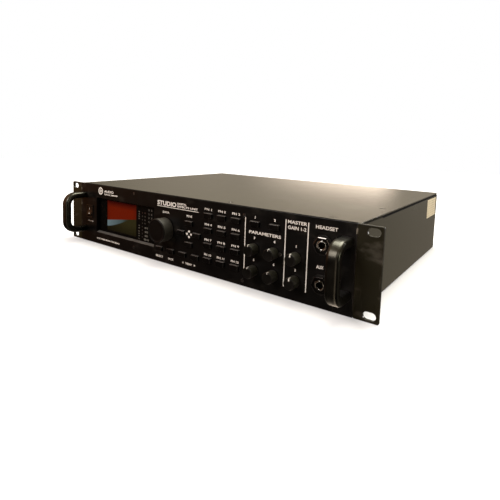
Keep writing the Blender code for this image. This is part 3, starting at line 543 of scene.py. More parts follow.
def turned(shape, centre, profile, sides=48, flutes=0, flute_depth=0.0):
    """Adds a turned form square to the panel. Its profile's points are (radius, depth)."""
    rows = []
    for radius, depth in profile:
        row = []
        for step in range(sides if radius else 1):
            turn = 2 * math.pi * step / sides
            reach = radius - (flute_depth * (0.5 + 0.5 * math.cos(flutes * turn)) if radius else 0)
            row.append(at(centre[0] + reach * math.cos(turn), depth, centre[1] + reach * math.sin(turn)))
        rows.append(row)
    loft(shape, rows)


def prism(shape, outline, depths, chamfer=0.0):
    """Adds a closed prism between two depths, its front rim cut back by a chamfer."""
    middle = sum((Vector(point) for point in outline), Vector((0, 0))) / len(outline)
    levels = [(depths[0] + chamfer, 0), (depths[1], 0)]
    if chamfer:
        levels.insert(0, (depths[0], chamfer))
    rows = []
    for depth, inset in levels:
        corners = (Vector(point) - middle for point in outline)
        places = (middle + corner * (1 - inset / corner.length) for corner in corners)
        rows.append([at(x, depth, z) for x, z in places])
    loft(shape, rows, capped=True)


FONT_CAP = 0.70
PRINT_THICKNESS = 0.06
LABEL_HEIGHT = 2.45


def lettering(shape, text, centre, height, width=None, weight=0.0, depth=0.0, align="CENTER", turn=UPRIGHT):
    """Adds printed characters with their capitals a height tall, centred on a place or beside it."""
    curve = bpy.data.curves.new("lettering", "FONT")
    configured(curve, body=text, size=height / FONT_CAP, align_x=align, offset=weight)
    configured(curve, extrude=PRINT_THICKNESS / 2, resolution_u=3)
    drawn = bpy.data.objects.new("lettering", curve)
    stretch = Matrix.Identity(4)
    if width:
        bpy.context.scene.collection.objects.link(drawn)
        bpy.context.view_layer.update()
        stretch = Matrix.Diagonal((width / drawn.dimensions.x, 1, 1, 1))
        bpy.context.scene.collection.objects.unlink(drawn)
    place = Matrix.Translation(at(centre[0], depth - PRINT_THICKNESS / 2, centre[1]))
    merge_drawn(shape, drawn, place @ turn @ stretch @ Matrix.Translation((0, -height / 2, 0)))


def stroke(shape, low, high):
    """Adds a printed bar between two corners on the panel."""
    box(shape, at(low[0], -PRINT_THICKNESS, low[1]), at(high[0], 0, high[1]))


def mark(shape, outline):
    """Adds a filled printed outline on the panel."""
    prism(shape, outline, (-PRINT_THICKNESS, 0))


SCREW_DIP = 0.15


def screw_head(shape, centre, radius, depths, recess):
    """Adds a round screw head with a recess in it, given as an outline."""
    front, back = depths
    floor = front + 0.6 * (back - front)
    plate(shape, [circle(centre, radius, 32), recess], (front, floor), 0.08)
    turned(shape, centre, [(0, floor), (radius * 0.9, floor), (radius * 0.9, back), (0, back)], 32)


def cross_screw(shape, radius, height, arm, matrix):
    """Adds a cross-head screw, made at the panel's origin and moved by a matrix."""
    half = arm * 0.18
    quarters = [Matrix.Rotation(step * math.pi / 2, 2) for step in range(4)]
    corners = [Vector(corner) for corner in ((half, half), (arm, half), (arm, -half))]
    cross = [tuple(quarter @ corner) for quarter in quarters for corner in corners]
    head = bmesh.new()
    screw_head(head, (0, 0), radius, (0, height), cross[::-1])
    merge(shape, head, matrix)


def rear_screw(shape, centre, radius, depth):
    """Adds a cross-head screw that faces the rear, its top at a depth."""
    matrix = moved_to(at(centre[0], depth, centre[1]), math.pi, "Z")
    cross_screw(shape, radius, 1.3, radius * 0.5, matrix)


# ---- Sheet metal -------------------------------------------------------------------------


SLOT_X = 232.55
SLOT_INSET = 5.95
SLOT_SIZE = (12.0, 7.5)
EAR_THICKNESS = 3.2
EAR_LEG = (218.9, 221.4, 60.0)
EAR_LEG_MARGIN = 1.5
EAR_SCREW_DEPTHS = (14.0, 46.0)
EAR_SCREW_HEIGHTS = (24.0, 64.0)
SCREW_HOLE = 2.1
COVER_SCREW_HOLE = 3.3
SWITCH_OPENING = (15.0, 18.5)
BUTTON_OPENING = (12.6, 6.6)
LEDGE_DROP = 2.0
LEDGE_DEPTH = 3.4


def make_front_panel():
    x0, z0, x1, z1 = WINDOW
    holes = [rectangle(x0, z0 - LEDGE_DROP, x1, z1, 1.0)]
    holes.append(around(middle_of("power_switch_frame"), SWITCH_OPENING, 0.6))
    holes += [around(middle_of(name), BUTTON_OPENING, 0.9) for name in BUTTONS]
    holes += [circle(middle_of(name), 4.8) for name in (*QUICK_KNOBS, *OUTPUT_KNOBS, "value_wheel")]
    holes += [circle(middle_of(name), 5.0) for name in JACKS]
    holes += [circle(centre, SCREW_HOLE, 24) for centre in PANEL_SCREWS]
    shape = bmesh.new()
    plate(shape, [rectangle(-PANEL_HALF, 0, PANEL_HALF, HEIGHT, 0.4), *holes], (0, PANEL_THICKNESS), 0.3)
    panel = show("front_panel_fine", shape, "panel_paint", stands_for="front_panel")
    # The panel's up-facing faces are painted as shadow.
    second_look(panel, "painted_shadow_black", lambda face: face.normal.z > 0.9)


def make_panel_screws():
    screws = bmesh.new()
    for centre in PANEL_SCREWS:
        recess = circle(centre, 1.0, 6, math.pi / 6)
        screw_head(screws, centre, SCREW_HOLE - SCREW_DIP, (0.1, 2.4), recess)
    show("panel_screws", screws, "screw_black")


def make_window_ledge():
    """The window's lower edge, bevelled, in a light grey that paints the light falling on it from above."""
    x0, z0, x1, _ = WINDOW
    section = [(0.15, z0 - LEDGE_DROP + 0.1), (LEDGE_DEPTH, z0)]
    section += [(PANEL_THICKNESS, z0), (PANEL_THICKNESS, z0 - LEDGE_DROP)]
    shape = bmesh.new()
    rows = [[at(x, depth, z) for depth, z in section] for x in (x0 + 0.02, x1 - 0.02)]
    loft(shape, rows, capped=True)
    show("window_ledge", shape, "ledge_painted_highlight", bevel=0.15)


def make_ear(side, name):
    """A rack ear: a slotted plate beside the panel, folded back into a leg along the chassis."""
    low, high = cad_box(name)
    edge = rectangle(low.x, 0, high.x, HEIGHT, 1.5)
    slots = [slot_outline(side * SLOT_X, z, *SLOT_SIZE) for z in (SLOT_INSET, HEIGHT - SLOT_INSET)]
    shape = bmesh.new()
    plate(shape, [edge, *slots], (0, EAR_THICKNESS), 0.35)
    near, far, back = EAR_LEG
    ends = sorted((side * near, side * far))
    leg = bmesh.new()
    box(leg, at(ends[0], EAR_THICKNESS - 0.4, EAR_LEG_MARGIN), at(ends[1], back, HEIGHT - EAR_LEG_MARGIN))
    bmesh.ops.bevel(leg, geom=leg.edges[:], offset=0.4, segments=2, affect="EDGES")
    merge(shape, leg)
    for depth in EAR_SCREW_DEPTHS:
        for z in EAR_SCREW_HEIGHTS:
            side_screw(shape, side * far, depth, z, side)
    ear = show(name + "_fine", shape, "ear_paint", stands_for=name)
    leg_start = (FACE_Y + EAR_THICKNESS) * MM
    second_look(ear, "case_paint", lambda face: face.center.y > leg_start)
    # The leg's upper faces are painted as shadow under the cover's edge.
    second_look(ear, "painted_shadow_black", lambda face: face.center.y > leg_start and face.normal.z > 0.5)


def side_screw(shape, x, depth, z, side):
    """Adds a low domed screw head that faces out sideways."""
    dome = rounded([(3.2, 0.0), (3.2, 0.5), (2.2, 1.1), (0.0, 1.2)], 0.6)
    rows = []
    for radius, out in dome:
        ring = circle((depth, z), radius, 24 if radius else 1)
        rows.append([at(x + side * out, *point) for point in ring])
    loft(shape, rows, capped=True)


HANDLE_THICKNESS = 9.0
HANDLE_EDGE = 3.9
HANDLE_BEND = 13.0
HANDLE_BEND_STEPS = 12


def make_handle(name):
    """A bar bent into a D: a soft-edged flat section swept up one leg, round two bends and back."""
    low, high = cad_box(name)
    half_thick = HANDLE_THICKNESS / 2
    bottom, top = low.z + half_thick, high.z - half_thick
    bend_depth = low.y - FACE_Y + half_thick + HANDLE_BEND
    route = [(-GAP, bottom, 0.0)]
    for start, centre_z in ((0, bottom + HANDLE_BEND), (90, top - HANDLE_BEND)):
        for step in range(HANDLE_BEND_STEPS + 1):
            angle = math.radians(start + 90 * step / HANDLE_BEND_STEPS)
            depth = bend_depth - HANDLE_BEND * math.sin(angle)
            route.append((depth, centre_z - HANDLE_BEND * math.cos(angle), angle))
    route.append((-GAP, top, math.pi))
    section = rounded(around((0, 0), (high.x - low.x, HANDLE_THICKNESS)), HANDLE_EDGE, 7, closed=True)
    middle_x = (low.x + high.x) / 2
    rows = []
    for depth, z, angle in route:
        back, up = math.sin(angle), math.cos(angle)
        rows.append([at(middle_x + across, depth - out * back, z - out * up) for across, out in section])
    shape = bmesh.new()
    loft(shape, rows, capped=True)
    show(name + "_fine", shape, "handle_paint", stands_for=name, sharp=50)


def make_cover():
    """The flat top cover, its corners round, with countersunk screws along its edges."""
    edge = rectangle(-COVER_HALF, CASE_FRONT, COVER_HALF, COVER_BACK, 3.0)
    holes = [circle(centre, COVER_SCREW_HOLE, 32) for centre in COVER_SCREWS]
    shape = bmesh.new()
    plate(shape, [edge, *holes], (COVER_LOW.z, COVER_HIGH.z), 0.3, flat=True)
    show("top_cover_fine", shape, "case_paint", stands_for="top_cover")
    screws = bmesh.new()
    for x, depth in COVER_SCREWS:
        matrix = moved_to(at(x, depth, COVER_HIGH.z - SCREW_DIP), -math.pi / 2, "X")
        cross_screw(screws, COVER_SCREW_HOLE - SCREW_DIP, 1.2, 1.7, matrix)
    show("cover_screws", screws, "screw_black")


TRAY_FLANGE = 12.0
BOARD_UNDERSIDE = 7.7


def make_tray():
    """Bottom and side walls folded from one sheet, with a flange along the top of each wall."""
    high = cad_box("chassis_tray")[1]
    half, top = high.x, high.z
    section = [(-half + TRAY_FLANGE, top), (-half, top), (-half, 0)]
    section += [(-x, z) for x, z in reversed(section)]
    section = rounded(section, 2.2)
    shape = bmesh.new()
    loft(shape, [[at(x, depth, z) for x, z in section] for depth in (CASE_FRONT, REAR_FACE)], closed=False)
    tray = show("chassis_tray_fine", shape, "case_paint", stands_for="chassis_tray", sheet=SHEET)
    # The folds are painted as shadow under the cover's edge.
    second_look(tray, "painted_shadow_black", lambda face: 0.05 < face.normal.z < 0.98)
    posts = bmesh.new()
    for x in (-56.0, 72.0, 199.0):
        for depth in (66.0, 299.0):
            post = bmesh.new()
            prism(post, circle((0, 0), 3.0, 6), (0, BOARD_UNDERSIDE - SHEET), 0.3)
            merge(posts, post, moved_to(at(x, depth, BOARD_UNDERSIDE), -math.pi / 2, "X"))
    show("board_standoffs", posts, "brass")


INLET_OPENING = (28.0, 20.5)
FAN_GRILLE_RADIUS = 28.0
FAN_GRILLE_PITCH = 7.0
FAN_GRILLE_SLOT = 4.0


def make_rear_panel():
    low, high = cad_box("rear_panel")
    holes = [around(middle_of("power_inlet"), INLET_OPENING, 1.0)]
    for centres, radius in ((MIDI_CENTRES, 8.0), (XLR_CENTRES, 12.0), (REAR_JACKS, 5.0)):
        holes += [circle(centre, radius) for centre in centres]
    fan_x, fan_z = middle_of("fan_frame")
    for step in range(-3, 4):
        across = step * FAN_GRILLE_PITCH
        height = 2 * math.sqrt(FAN_GRILLE_RADIUS**2 - (abs(across) + FAN_GRILLE_SLOT / 2) ** 2)
        holes.append(around((fan_x + across, fan_z), (FAN_GRILLE_SLOT, height), 1.9))
    shape = bmesh.new()
    edge = rectangle(low.x, low.z, high.x, high.z, 0.5)
    plate(shape, [edge, *holes], (REAR_FACE - 2.0, REAR_FACE))
    show("rear_panel_fine", shape, "case_paint", stands_for="rear_panel")


# ---- Display -----------------------------------------------------------------------------


SCALE_ROWS = (58.4, 55.2, 52.0, 48.8, 39.2, 35.8, 31.4, 28.0, 24.8, 20.8)
METER_ROWS = [57.6 - 4.8 * step for step in range(8)]
CHANNEL_ROWS = (62.6, 57.2, 52.0, 46.9)
NOTE_ROWS = (37.8, 32.4, 27.0, 21.8)


def make_display():
    """The clear lens, and behind it the screen in a dark mask with its own frame and back."""
    shape = bmesh.new()
    lens = rectangle(LENS_LOW.x, LENS_LOW.z, LENS_HIGH.x, LENS_HIGH.z, 1.0)
    plate(shape, [lens], depths_of("display_lens"), 0.2)
    show("display_lens_fine", shape, "lens_plastic", stands_for="display_lens")

    low, high = cad_box("display_module")
    front, back = depths_of("display_module")
    x0, z0, x1, z1 = SCREEN
    module = rectangle(low.x, low.z, high.x, high.z, 1.0)
    mask = bmesh.new()
    plate(mask, [module, rectangle(*SCREEN, 0.8)], (front, front + 1.2), 0.2)
    plate(mask, [module], (front + 2.2, back), 0.3)
    for x in (x0 - 2.0, x1 + 2.0):
        slab(mask, (x, (z0 + z1) / 2), (1.2, z1 - z0), (front + 1.1, front + 2.3))
    show("display_mask", mask, "mask_plastic", stands_for="display_module")
    screen = bmesh.new()
    plate(screen, [rectangle(x0 - 1, z0 - 1, x1 + 1, z1 + 1)], (front + 1.3, front + 2.0), 0.1)
    show("display_screen", screen, "display_screen")
    make_display_legends(front)


def make_display_legends(front):
    """Columns of indicator windows beside the screen, with plain numbers beside them."""
    legends, faint, clear, red = (bmesh.new() for _ in range(4))
    for number, z in enumerate(SCALE_ROWS, 1):
        lettering(legends, str(number * 3), (-89.8, z), 1.5, 2.9, 0.1, front)
    for number, z in enumerate(NOTE_ROWS, 1):
        width = 6.6 if number < 4 else 11.0
        lettering(legends, f"0{number}", (-74.6, z - 0.4), 2.2, width, 0.22, front)
    for number, z in enumerate(CHANNEL_ROWS, 1):
        lettering(faint, str(number), (-69.8, z), 2.3, 2.6, 0.2, front)
        lettering(faint, str(number + 4), (-64.4, z), 2.5, 2.8, 0.25, front)
    for row, z in enumerate(METER_ROWS):
        windows = [((-83.0, z), (1.8, 2.0)), ((-77.6, z), (3.0, 2.0))]
        for centre, size in windows if row < 4 else windows[:1]:
            prism(clear if row else red, around(centre, size, 0.5), (front - 0.12, front))
    show("display_legends", legends, "legend_ink")
    show("display_faint_legends", faint, "faint_ink")
    show("meter_red", red, "led_red")
    show("meter_clear", clear, "led_clear")


# ---- Controls ----------------------------------------------------------------------------


BUTTON_SIZE = (12.0, 6.0)
BUTTON_EDGE = 0.75
BUTTON_LIP = 0.8
BUTTON_EDGE_STEPS = 6


def make_button(name):
    """A key: a cap with soft corners and a faintly dished face, and the lip that retains it."""
    centre, (front, back) = middle_of(name), depths_of(name)
    levels = [(BUTTON_EDGE + 0.6, front + 0.05)]
    for step in range(BUTTON_EDGE_STEPS + 1):
        turn = math.pi / 2 * step / BUTTON_EDGE_STEPS
        levels.append((BUTTON_EDGE * (1 - math.sin(turn)), front + BUTTON_EDGE * (1 - math.cos(turn))))
    levels.append((0.0, back - BUTTON_LIP))
    rows = []
    for inset, depth in levels:
        outline = around(centre, [side - 2 * inset for side in BUTTON_SIZE], 0.9)
        rows.append([at(x, depth, z) for x, z in outline])
    shape = bmesh.new()
    loft(shape, rows, capped=True)
    slab(shape, centre, size_of(name), (back - BUTTON_LIP, back))
    cap = show(name + "_cap", shape, "button_plastic", name, name)
    # The cap's top faces take a lighter grey, a painted highlight from the light above.
    second_look(cap, "button_top_painted_highlight", lambda face: face.normal.z > 0.4)


SHAFT_BORE = 3.2
KNOB_RADIUS = 6.2
KNOB_FLUTES = 36
FLUTE_DEPTH = 0.12


def beside_axis(face):
    """Whether a face lies along a knob's turning axis."""
    return abs(face.normal.y) < 0.3


def make_knob(name, width, foot, tip):
    """A turned knob with soft rims, fluted sides and a light pointer line let into its face. Its sides take
    a lighter grey than its face, a painted highlight from the light above; on the quick knobs the short
    pointer is partly a painted glint at the rim.
    """
    (x, z), (front, back) = middle_of(name), depths_of(name)
    radius, bore_end = KNOB_RADIUS, front + 2.5
    rim = (radius - 0.15, front + 0.6)
    heel = (radius - 0.1, back)
    face = [(0, front + 0.22), (radius * 0.5, front + 0.2), (radius - 1.3, front + 0.12)]
    face += [(radius - 0.85, front), (radius - 0.35, front + 0.15), rim]
    side = [rim, (radius - 0.15, front + 1.6), (radius - 0.02, front + 2.2), (radius, back - 1.4), heel]
    shape = bmesh.new()
    turned(shape, (x, z), face, 96)
    turned(shape, (x, z), side, 96, KNOB_FLUTES, FLUTE_DEPTH)
    turned(shape, (x, z), [heel, (SHAFT_BORE, back), (SHAFT_BORE, bore_end), (0, bore_end)])
    knob = show(name + "_fine", shape, "knob_plastic", name, name, sharp=50)
    # The sides get the painted highlight.
    second_look(knob, "knob_side_painted_highlight", beside_axis)
    pointer = bmesh.new()
    slab(pointer, (x, z + (foot + tip) / 2), (width, tip - foot), (front + 0.02, front + 0.4))
    slab(pointer, (x, z + radius - 0.35), (width, 0.62), (front + 0.25, front + 3.2))
    show(name + "_pointer", pointer, "pointer_paint", name, bevel=0.1, segments=2)


def make_wheel():
    """The large value wheel: a soft-touch drum with a chamfered rim and a flat face, its side a lighter grey
    than the face as a painted highlight from above.
    """
    name = "value_wheel"
    centre, (front, back) = middle_of(name), depths_of(name)
    radius, bore_end = size_of(name)[0] / 2, front + 6
    profile = rounded([(0, front + 0.35), (radius - 2.2, front + 0.35), (radius - 1.6, front)], 0.4)
    rim = [(radius - 1.6, front), (radius - 0.95, front), (radius - 0.05, front + 0.9)]
    profile += rounded(rim, 0.3)[1:]
    heel = (radius - 0.3, back)
    shape = bmesh.new()
    turned(shape, centre, profile, 128)
    turned(shape, centre, [profile[-1], (radius, front + 1.4), (radius, back - 0.8), heel], 128)
    turned(shape, centre, [heel, (SHAFT_BORE, back), (SHAFT_BORE, bore_end), (0, bore_end)])
    wheel = show("value_wheel_fine", shape, "wheel_plastic", name, name, sharp=40)
    second_look(wheel, "wheel_side_painted_highlight", beside_axis)


JACK_BODY = 15.0
JACK_WASHER = 10.0
JACK_NUT = 9.0
JACK_NUT_DEPTHS = (-2.8, -0.92)
JACK_NECK = 4.7
JACK_BORE = 3.3
JACK_BORE_END = 27.0


def make_jack(name, nut_turn, nut_look, neck_look):
    """A panel jack: square body, washer, six-sided nut and a bright neck with a round lip."""
    centre, (front, back) = middle_of(name), depths_of(name)
    body, washer, nut, neck, inside = (bmesh.new() for _ in range(5))
    slab(body, centre, (JACK_BODY, JACK_BODY), (PANEL_THICKNESS + GAP, back))
    show(name + "_body", body, "socket_plastic", stands_for=name, bevel=0.5)
    inner = JACK_NECK + 0.1
    profile = rounded([(inner, -GAP), (JACK_WASHER, -GAP), (JACK_WASHER, -0.9), (inner, -0.9)], 0.2)
    turned(washer, centre, [*profile, (inner, -GAP)], 64)
    show(name + "_washer", washer, "socket_plastic")
    outlines = [hexagon(centre, JACK_NUT, nut_turn, 0.6), circle(centre, JACK_NECK + 0.05, 48)]
    plate(nut, outlines, JACK_NUT_DEPTHS, 0.55)
    show(name + "_nut", nut, nut_look)
    lip = rounded([(JACK_NECK, -2.4), (JACK_NECK, front), (JACK_BORE, front), (JACK_BORE, -1.5)], 0.75, 5)
    turned(neck, centre, [(JACK_NECK, 2.0), *lip], 64)
    show(name + "_neck", neck, neck_look, sharp=60)
    turned(inside, centre, [(JACK_BORE, -1.5), (JACK_BORE, JACK_BORE_END), (0, JACK_BORE_END)])
    slab(inside, (centre[0], centre[1] + 2.9), (1.6, 0.7), (9.0, 16.0))
    show(name + "_bore", inside, "mask_plastic")


def make_power_switch():
    name = "power_switch_frame"
    centre, (front, back) = middle_of(name), depths_of(name)
    opening = around(centre, (11.4, 15.4), 0.5)
    sleeve = around(centre, (14.4, 17.9), 0.5)
    shape = bmesh.new()
    plate(shape, [around(centre, size_of(name), 1.2), opening], (front, -GAP))
    plate(shape, [sleeve, opening], (-GAP - 0.1, 10.0), 0.1)
    plate(shape, [sleeve], (9.9, back), 0.3)
    show("power_switch_frame_fine", shape, "switch_plastic", stands_for=name)
    make_rocker(at(centre[0], 4.0, centre[1]))


ROCKER_TILT = math.radians(8)
ROCKER_HALF = 6.6
ROCKER_WIDTH = 10.8
ROCKER_FACE = -4.8


def make_rocker(pivot):
    """The rocker: two dished halves that meet in a shallow V, its upper half pressed in at rest."""
    half = ROCKER_HALF
    rise = half * math.tan(ROCKER_TILT)
    upper = [(ROCKER_FACE, 0.0), (ROCKER_FACE - rise * 0.42, half * 0.5)]
    upper += [(ROCKER_FACE - rise, half - 0.5), (ROCKER_FACE + 0.4 - rise, half), (0.6, half), (3.0, 2.64)]
    outline = upper + [(y, -z) for y, z in reversed(upper)][:-1]
    shape = bmesh.new()
    side = [shape.verts.new(pivot + Vector((-ROCKER_WIDTH / 2, y, z))) for y, z in outline]
    grown = bmesh.ops.extrude_face_region(shape, geom=[shape.faces.new(side)])
    moved = [item for item in grown["geom"] if isinstance(item, bmesh.types.BMVert)]
    bmesh.ops.translate(shape, verts=moved, vec=(ROCKER_WIDTH, 0, 0))
    bar, ring, marks = bmesh.new(), bmesh.new(), bmesh.new()
    slab(bar, (0, 0), (0.5, 2.6), (-0.05, 0.05))
    plate(ring, [circle((0, 0), 1.4, 24), circle((0, 0), 1.0, 24)], (-0.05, 0.05), 0.01)
    for sign, z in ((bar, 3.4), (ring, -3.4)):
        face = ROCKER_FACE - abs(z) * math.tan(ROCKER_TILT) - 0.02
        merge(marks, sign, moved_to(pivot + Vector((0, face, z)), math.copysign(ROCKER_TILT, z), "X"))
    press = Matrix.Rotation(-ROCKER_TILT, 3, "X")
    for pressed in (shape, marks):
        bmesh.ops.rotate(pressed, cent=pivot, matrix=press, verts=pressed.verts)
    show("power_rocker_fine", shape, "switch_plastic", "power_rocker", "power_rocker", 0.4, sharp=20)
    show("power_rocker_marks", marks, "pointer_paint", "power_rocker")


# ---- Prints and label --------------------------------------------------------------------


FUNCTION_LABEL_HEIGHTS = (78.5, 60.6, 42.4, 24.7)
NAV_LABEL_HEIGHT = 66.3
TOP_LABEL_HEIGHT = 78.4
LOWER_LABEL_HEIGHT = 7.3
LABEL_WEIGHT = 0.07
DIVIDERS = ((94.0, 12.0, 77.0), (144.0, 12.0, 81.5), (169.2, 11.8, 81.7))


def make_panel_print():
    """The white legends printed on the panel, in plain generic wording and numbers."""
    shape = bmesh.new()
    nav_x, nav_z = middle_of("nav_up_button")[0], middle_of("nav_left_button")[1]
    page_x = (middle_of("page_left_button")[0] + middle_of("page_right_button")[0]) / 2
    output_x = middle_of("output_knob_1")[0]
    power_x = middle_of("power_switch_frame")[0] + 1.5
    labels = [
        ("MOVE", nav_x, NAV_LABEL_HEIGHT, 9.0),
        ("SELECT", middle_of("enter_button")[0], LOWER_LABEL_HEIGHT, 13.5),
        ("BACK", middle_of("exit_button")[0], LOWER_LABEL_HEIGHT, 9.5),
        ("VIEW", page_x, LOWER_LABEL_HEIGHT, 11.0),
        ("DATA", middle_of("value_wheel")[0], 66.1, 11.5),
    ]
    for index, name in enumerate(FUNCTION_BUTTONS):
        labels.append((f"FN {index + 1}", middle_of(name)[0], FUNCTION_LABEL_HEIGHTS[index // 3], 10.8))
    for text, x, z, width in labels:
        lettering(shape, text, (x, z), LABEL_HEIGHT, width, LABEL_WEIGHT)
    for text, x, z, height, width, weight in (
        ("POWER", power_x, 31.7, 1.7, 13.0, 0.0),
        ("PARAMETERS", 119.0, 62.0, 3.2, 39.5, 0.1),
        ("MASTER", output_x, 79.7, 3.3, 21.5, 0.1),
        ("GAIN 1-2", output_x, 74.0, 3.3, 20.5, 0.1),
        ("HEADSET", 188.0, 79.2, 3.3, 22.5, 0.08),
        ("AUX", 183.0, 40.4, 3.1, 7.5, 0.1),
    ):
        lettering(shape, text, (x, z), height, width, weight)
    for name, text in (("quick_button_x", "1"), ("quick_button_y", "2")):
        lettering(shape, text, (middle_of(name)[0], TOP_LABEL_HEIGHT), LABEL_HEIGHT, weight=0.2)
    for names, texts, above, weight in ((QUICK_KNOBS, "3456", 11.6, 0.2), (OUTPUT_KNOBS, "12", 11.4, 0.16)):
        for name, text in zip(names, texts):
            x, z = middle_of(name)
            lettering(shape, text, (x, z + above), LABEL_HEIGHT, weight=weight)
    for dx, dz in ((0, 3.4), (0, -3.4), (-3.4, 0), (3.4, 0)):
        mark(shape, circle((nav_x + dx, nav_z + dz - 0.3), 1.75, 4))
    for side, turn in ((-1, math.pi), (1, 0)):
        mark(shape, circle((page_x + side * 9.6, LOWER_LABEL_HEIGHT), 1.5, 3, turn))
    for x, foot, top in DIVIDERS:
        stroke(shape, (x - 0.5, foot), (x + 0.5, top))
    make_name_print(shape)
    show("panel_print", shape, "ink", sharp=60)


MARK_CENTRE = (-168.5, 79.6)


def make_name_print(shape):
    """A generic name with a rule under it, and a plain ring-and-bars mark at the panel's left."""
    for text, x, z, height, width, weight in (
        ("STUDIO", -46.0, 77.3, 5.4, 34.0, 0.22),
        ("DIGITAL", -10.0, 79.4, 2.1, 15.5, 0.1),
        ("EFFECTS UNIT", -10.0, 76.0, 2.3, 34.0, 0.08),
        ("AUDIO", -159.5, 80.0, 3.3, 22.0, 0.12),
        ("RACK SERIES", -159.5, 75.7, 2.0, 30.0, 0.07),
        ("24 BIT STEREO SIGNAL PROCESSING", -178.0, 8.2, 2.0, 54.0, 0.07),
    ):
        lettering(shape, text, (x, z), height, width, weight, align="LEFT")
    stroke(shape, (-46.5, 72.6), (25.5, 73.3))
    plate(shape, [circle(MARK_CENTRE, radius) for radius in (5.4, 3.6)], (-PRINT_THICKNESS, 0), 0.01)
    for across, reach in ((-1.9, 1.6), (0, 2.6), (1.9, 1.6)):
        x, z = MARK_CENTRE[0] + across, MARK_CENTRE[1]
        stroke(shape, (x - 0.55, z - reach), (x + 0.55, z + reach))


LABEL_DEPTHS = (279.0, 335.0)
LABEL_HEIGHTS = (55.0, 82.0)


def make_side_label():
    """A paper label stuck on the right side wall near the rear."""
    label, shape = bmesh.new(), bmesh.new()
    outline = rectangle(LABEL_DEPTHS[0], LABEL_HEIGHTS[0], LABEL_DEPTHS[1], LABEL_HEIGHTS[1], 1.2)
    plate(label, [outline], (-0.08, 0.0), 0.02)
    merge(shape, label, moved_to(at(COVER_HALF + 0.02, 0, 0), math.pi / 2, "Z"))
    show("side_label", shape, "label_paper")


# ---- Rear --------------------------------------------------------------------------------


INLET_POCKET = (22.5, 15.5)
INLET_POCKET_CORNER = 4.5
INLET_BODY = (27.4, 19.9)
INLET_SCREW_OFFSET = 20.0
INLET_BLADES = ((-5.0, -2.0), (5.0, -2.0), (0.0, 2.5))


def make_power_inlet():
    """A mains inlet: flange with two screws, recessed socket with three blades."""
    name = "power_inlet"
    (x, z), (front, back) = middle_of(name), depths_of(name)
    side, rise = INLET_POCKET[0] / 2, INLET_POCKET[1] / 2
    pocket = [(x + side, z - rise), (x + side, z + rise - INLET_POCKET_CORNER)]
    pocket.append((x + side - INLET_POCKET_CORNER, z + rise))
    pocket = [(2 * x - u, v) for u, v in pocket[:1]] + pocket + [(2 * x - u, v) for u, v in pocket[:0:-1]]
    pocket = rounded(pocket, 1.0, closed=True)
    screw_places = [(x - INLET_SCREW_OFFSET, z), (x + INLET_SCREW_OFFSET, z)]
    holes = [circle(place, 2.4, 24) for place in screw_places]
    shape, blades, screws = (bmesh.new() for _ in range(3))
    plate(shape, [around((x, z), size_of(name), 3.0), pocket, *holes], (REAR_FACE + GAP, back), 0.4)
    body = around((x, z), INLET_BODY, 1.0)
    plate(shape, [body, pocket], (front + 2.0, REAR_FACE + GAP + 0.1), 0.1)
    plate(shape, [body], (front, front + 2.1), 0.2)
    show("power_inlet_fine", shape, "socket_plastic", stands_for=name)
    for dx, dz in INLET_BLADES:
        slab(blades, (x + dx, z + dz), (2.0, 4.0), (front + 2.0, back - 5.0))
    bmesh.ops.bevel(blades, geom=blades.edges[:], offset=0.3, segments=1, affect="EDGES")
    show("power_inlet_blades", blades, "nickel")
    for place in screw_places:
        rear_screw(screws, place, 2.2, back - SCREW_DIP)
    show("power_inlet_screws", screws, "screw_black")


REAR_NUT = 7.0
REAR_WASHER = 8.2
REAR_JACK_END = 26.0


def make_rear_jacks():
    """Six quarter-inch sockets in one block, each with its neck, washer and nut."""
    name = "rear_jack_block"
    front, back = depths_of(name)
    body, necks, nuts, bores, washers = (bmesh.new() for _ in range(5))
    slab(body, middle_of(name), size_of(name), (front, REAR_FACE - 2.3))
    neck = [(JACK_NECK, REAR_FACE - 2.3), (JACK_NECK, back - 0.2), (4.5, back), (3.5, back)]
    neck += [(JACK_BORE, back - 0.4), (JACK_BORE, back - 2)]
    washer = [(REAR_WASHER, REAR_FACE + 0.02), (REAR_WASHER, REAR_FACE + 0.04), (4.75, REAR_FACE + 0.04)]
    bore_end = back - REAR_JACK_END
    for index, centre in enumerate(REAR_JACKS):
        turned(necks, centre, neck, 40)
        outlines = [hexagon(centre, REAR_NUT, math.radians(index * 17), 0.5), circle(centre, 4.75)]
        plate(nuts, outlines, (REAR_FACE + 0.05, REAR_FACE + 1.9), 0.3)
        turned(bores, centre, [(JACK_BORE, back - 2), (JACK_BORE, bore_end), (0, bore_end)], 32)
        turned(washers, centre, washer, 40)
    show("rear_jack_bodies", body, "socket_plastic", stands_for=name, bevel=0.6)
    show("rear_jack_necks", necks, "dark_nickel")
    show("rear_jack_nuts", nuts, "dark_nickel")
    show("rear_jack_bores", bores, "mask_plastic")
    show("rear_jack_washers", washers, "socket_plastic")


XLR_FLANGE = (26.0, 31.0)
XLR_BORE = 9.5
XLR_DEPTH = 15.0
XLR_WALL = 0.5
XLR_SCREW_OFFSET = (9.5, 12.0)


